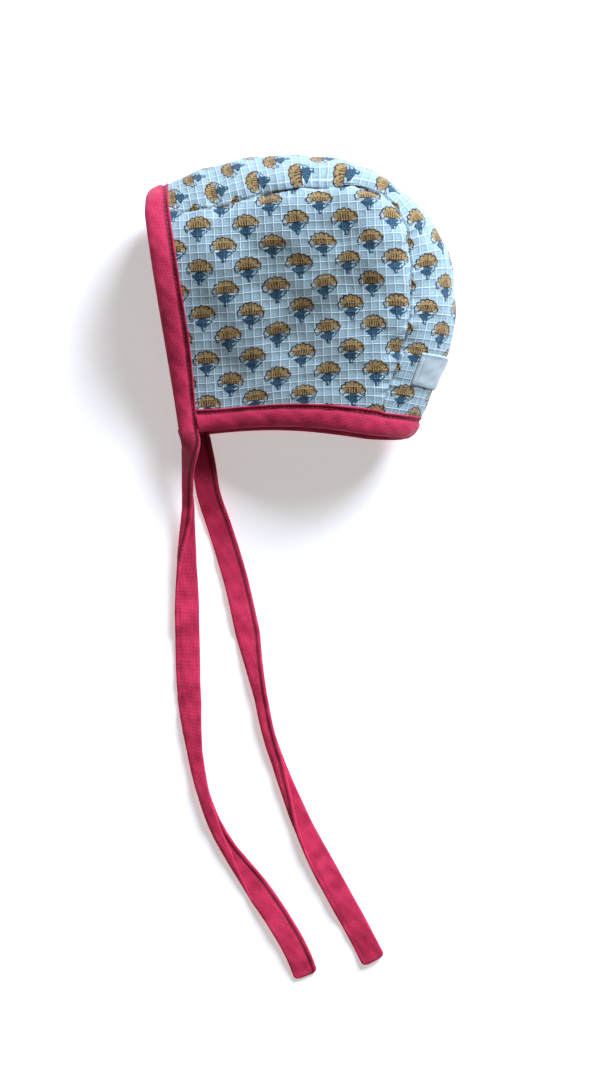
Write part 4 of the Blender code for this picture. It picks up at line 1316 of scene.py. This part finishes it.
def sewnLabel():
    across0, along0 = (np.array(share) for share in label["centre"])
    here = stripPoint(across0, along0)
    perAcross = np.linalg.norm(stripPoint(across0 + 0.01, along0) - here) / 0.01
    perAlong = np.linalg.norm(stripPoint(across0, along0 + 0.01) - here) / 0.01
    u, v = np.meshgrid(*(np.linspace(-0.5, 0.5, cells) for cells in label["cells"]), indexing="ij")
    x, y = u * label["across"], v * label["along"]
    turnX, turnY = math.cos(label["turn"]), math.sin(label["turn"])
    points, normals = stripFrame(across0 + (x * turnX - y * turnY) / perAcross,
                                 along0 + (y * turnX + x * turnY) / perAlong)
    wrinkle = ripples(label["waves"], x, y)
    toEnd, toSide = 0.5 * label["across"] - np.abs(x), 0.5 * label["along"] - np.abs(y)
    folded = label["foldRise"] * (1.0 - smoothStep((toEnd - label["foldedEnd"]) / (0.6 * mm)))
    droop = label["droop"] * (smoothStep((np.abs(u) - 0.47) / 0.03) + smoothStep((np.abs(v) - 0.46) / 0.04))
    points = points + normals * (label["lift"] + label["thickness"] + wrinkle + folded - droop)[..., None]
    # the woven border along the sides, and a line of painted shade at each folded end's step
    border = bump(toSide, label["border"], 0.55 * mm) + bump(toEnd, label["foldedEnd"], 0.4 * mm)
    places = np.stack([x / mm, y / mm, np.minimum(border, 1.0)], axis=-1)
    sheet = clothSheet("side_label_tape", points, places, label["thickness"], [labelTape()], False)
    dress(sheet, "side_label")


sewnLabel()
print("label made")


# Floor and studio light
studio = {
    "floor": "#f6f6f6",
    "floorGlow": 0.45,
    "floorSize": 3.0,
    "aim": (0.0, -0.10, 0.02),
    # name, azimuth, elevation, distance m, size m, watts, colour: cool daylight from low on one side
    "lights": [
        ("window", 57, 32, 1.3, 0.7, 39, "#e3ecff"),
        ("room_left", 185, 30, 1.4, 1.0, 1.4, "#fff1e4"),
        ("room_top", 260, 80, 1.5, 1.2, 1.4, "#fff1e4"),
    ],
    "sky": "#fff3ea",
    "skyStrength": 0.055,
}


def setStudio():
    corners = np.array([(-1.0, -1.0, 0), (1.0, -1.0, 0), (1.0, 1.0, 0), (-1.0, 1.0, 0)])
    plane = meshOf("plain_floor", studio["floorSize"] * corners, [[0, 1, 2, 3]])
    material, _, shader = newMaterial("matt paper floor")    # uncoated paper, evenly pale
    shader.inputs["Base Color"].default_value = fromHex(studio["floor"])
    shader.inputs["Roughness"].default_value = 0.9
    shader.inputs["Emission Color"].default_value = fromHex(studio["floor"])
    shader.inputs["Emission Strength"].default_value = studio["floorGlow"]
    plane.data.materials.append(material)
    for name, azimuth, elevation, distance, size, watts, colour in studio["lights"]:
        data = bpy.data.lights.new(name, "AREA")
        data.size = size
        data.energy = watts
        data.color = fromHex(colour)[:3]
        lamp = bpy.data.objects.new(name, data)
        a, e = math.radians(azimuth), math.radians(elevation)
        way = Vector((math.cos(a) * math.cos(e), math.sin(a) * math.cos(e), math.sin(e)))
        lamp.location = Vector(studio["aim"]) + way * distance
        lamp.rotation_euler = way.to_track_quat("Z", "Y").to_euler()
        bpy.context.scene.collection.objects.link(lamp)
    world = bpy.data.worlds.new("pale room")
    world.use_nodes = True
    sky = world.node_tree.nodes["Background"]
    sky.inputs["Color"].default_value = fromHex(studio["sky"])
    sky.inputs["Strength"].default_value = studio["skyStrength"]
    bpy.context.scene.world = world
    bpy.context.scene.view_settings.view_transform = "Standard"     # cloth colours as they are mixed


setStudio()
print("studio set")
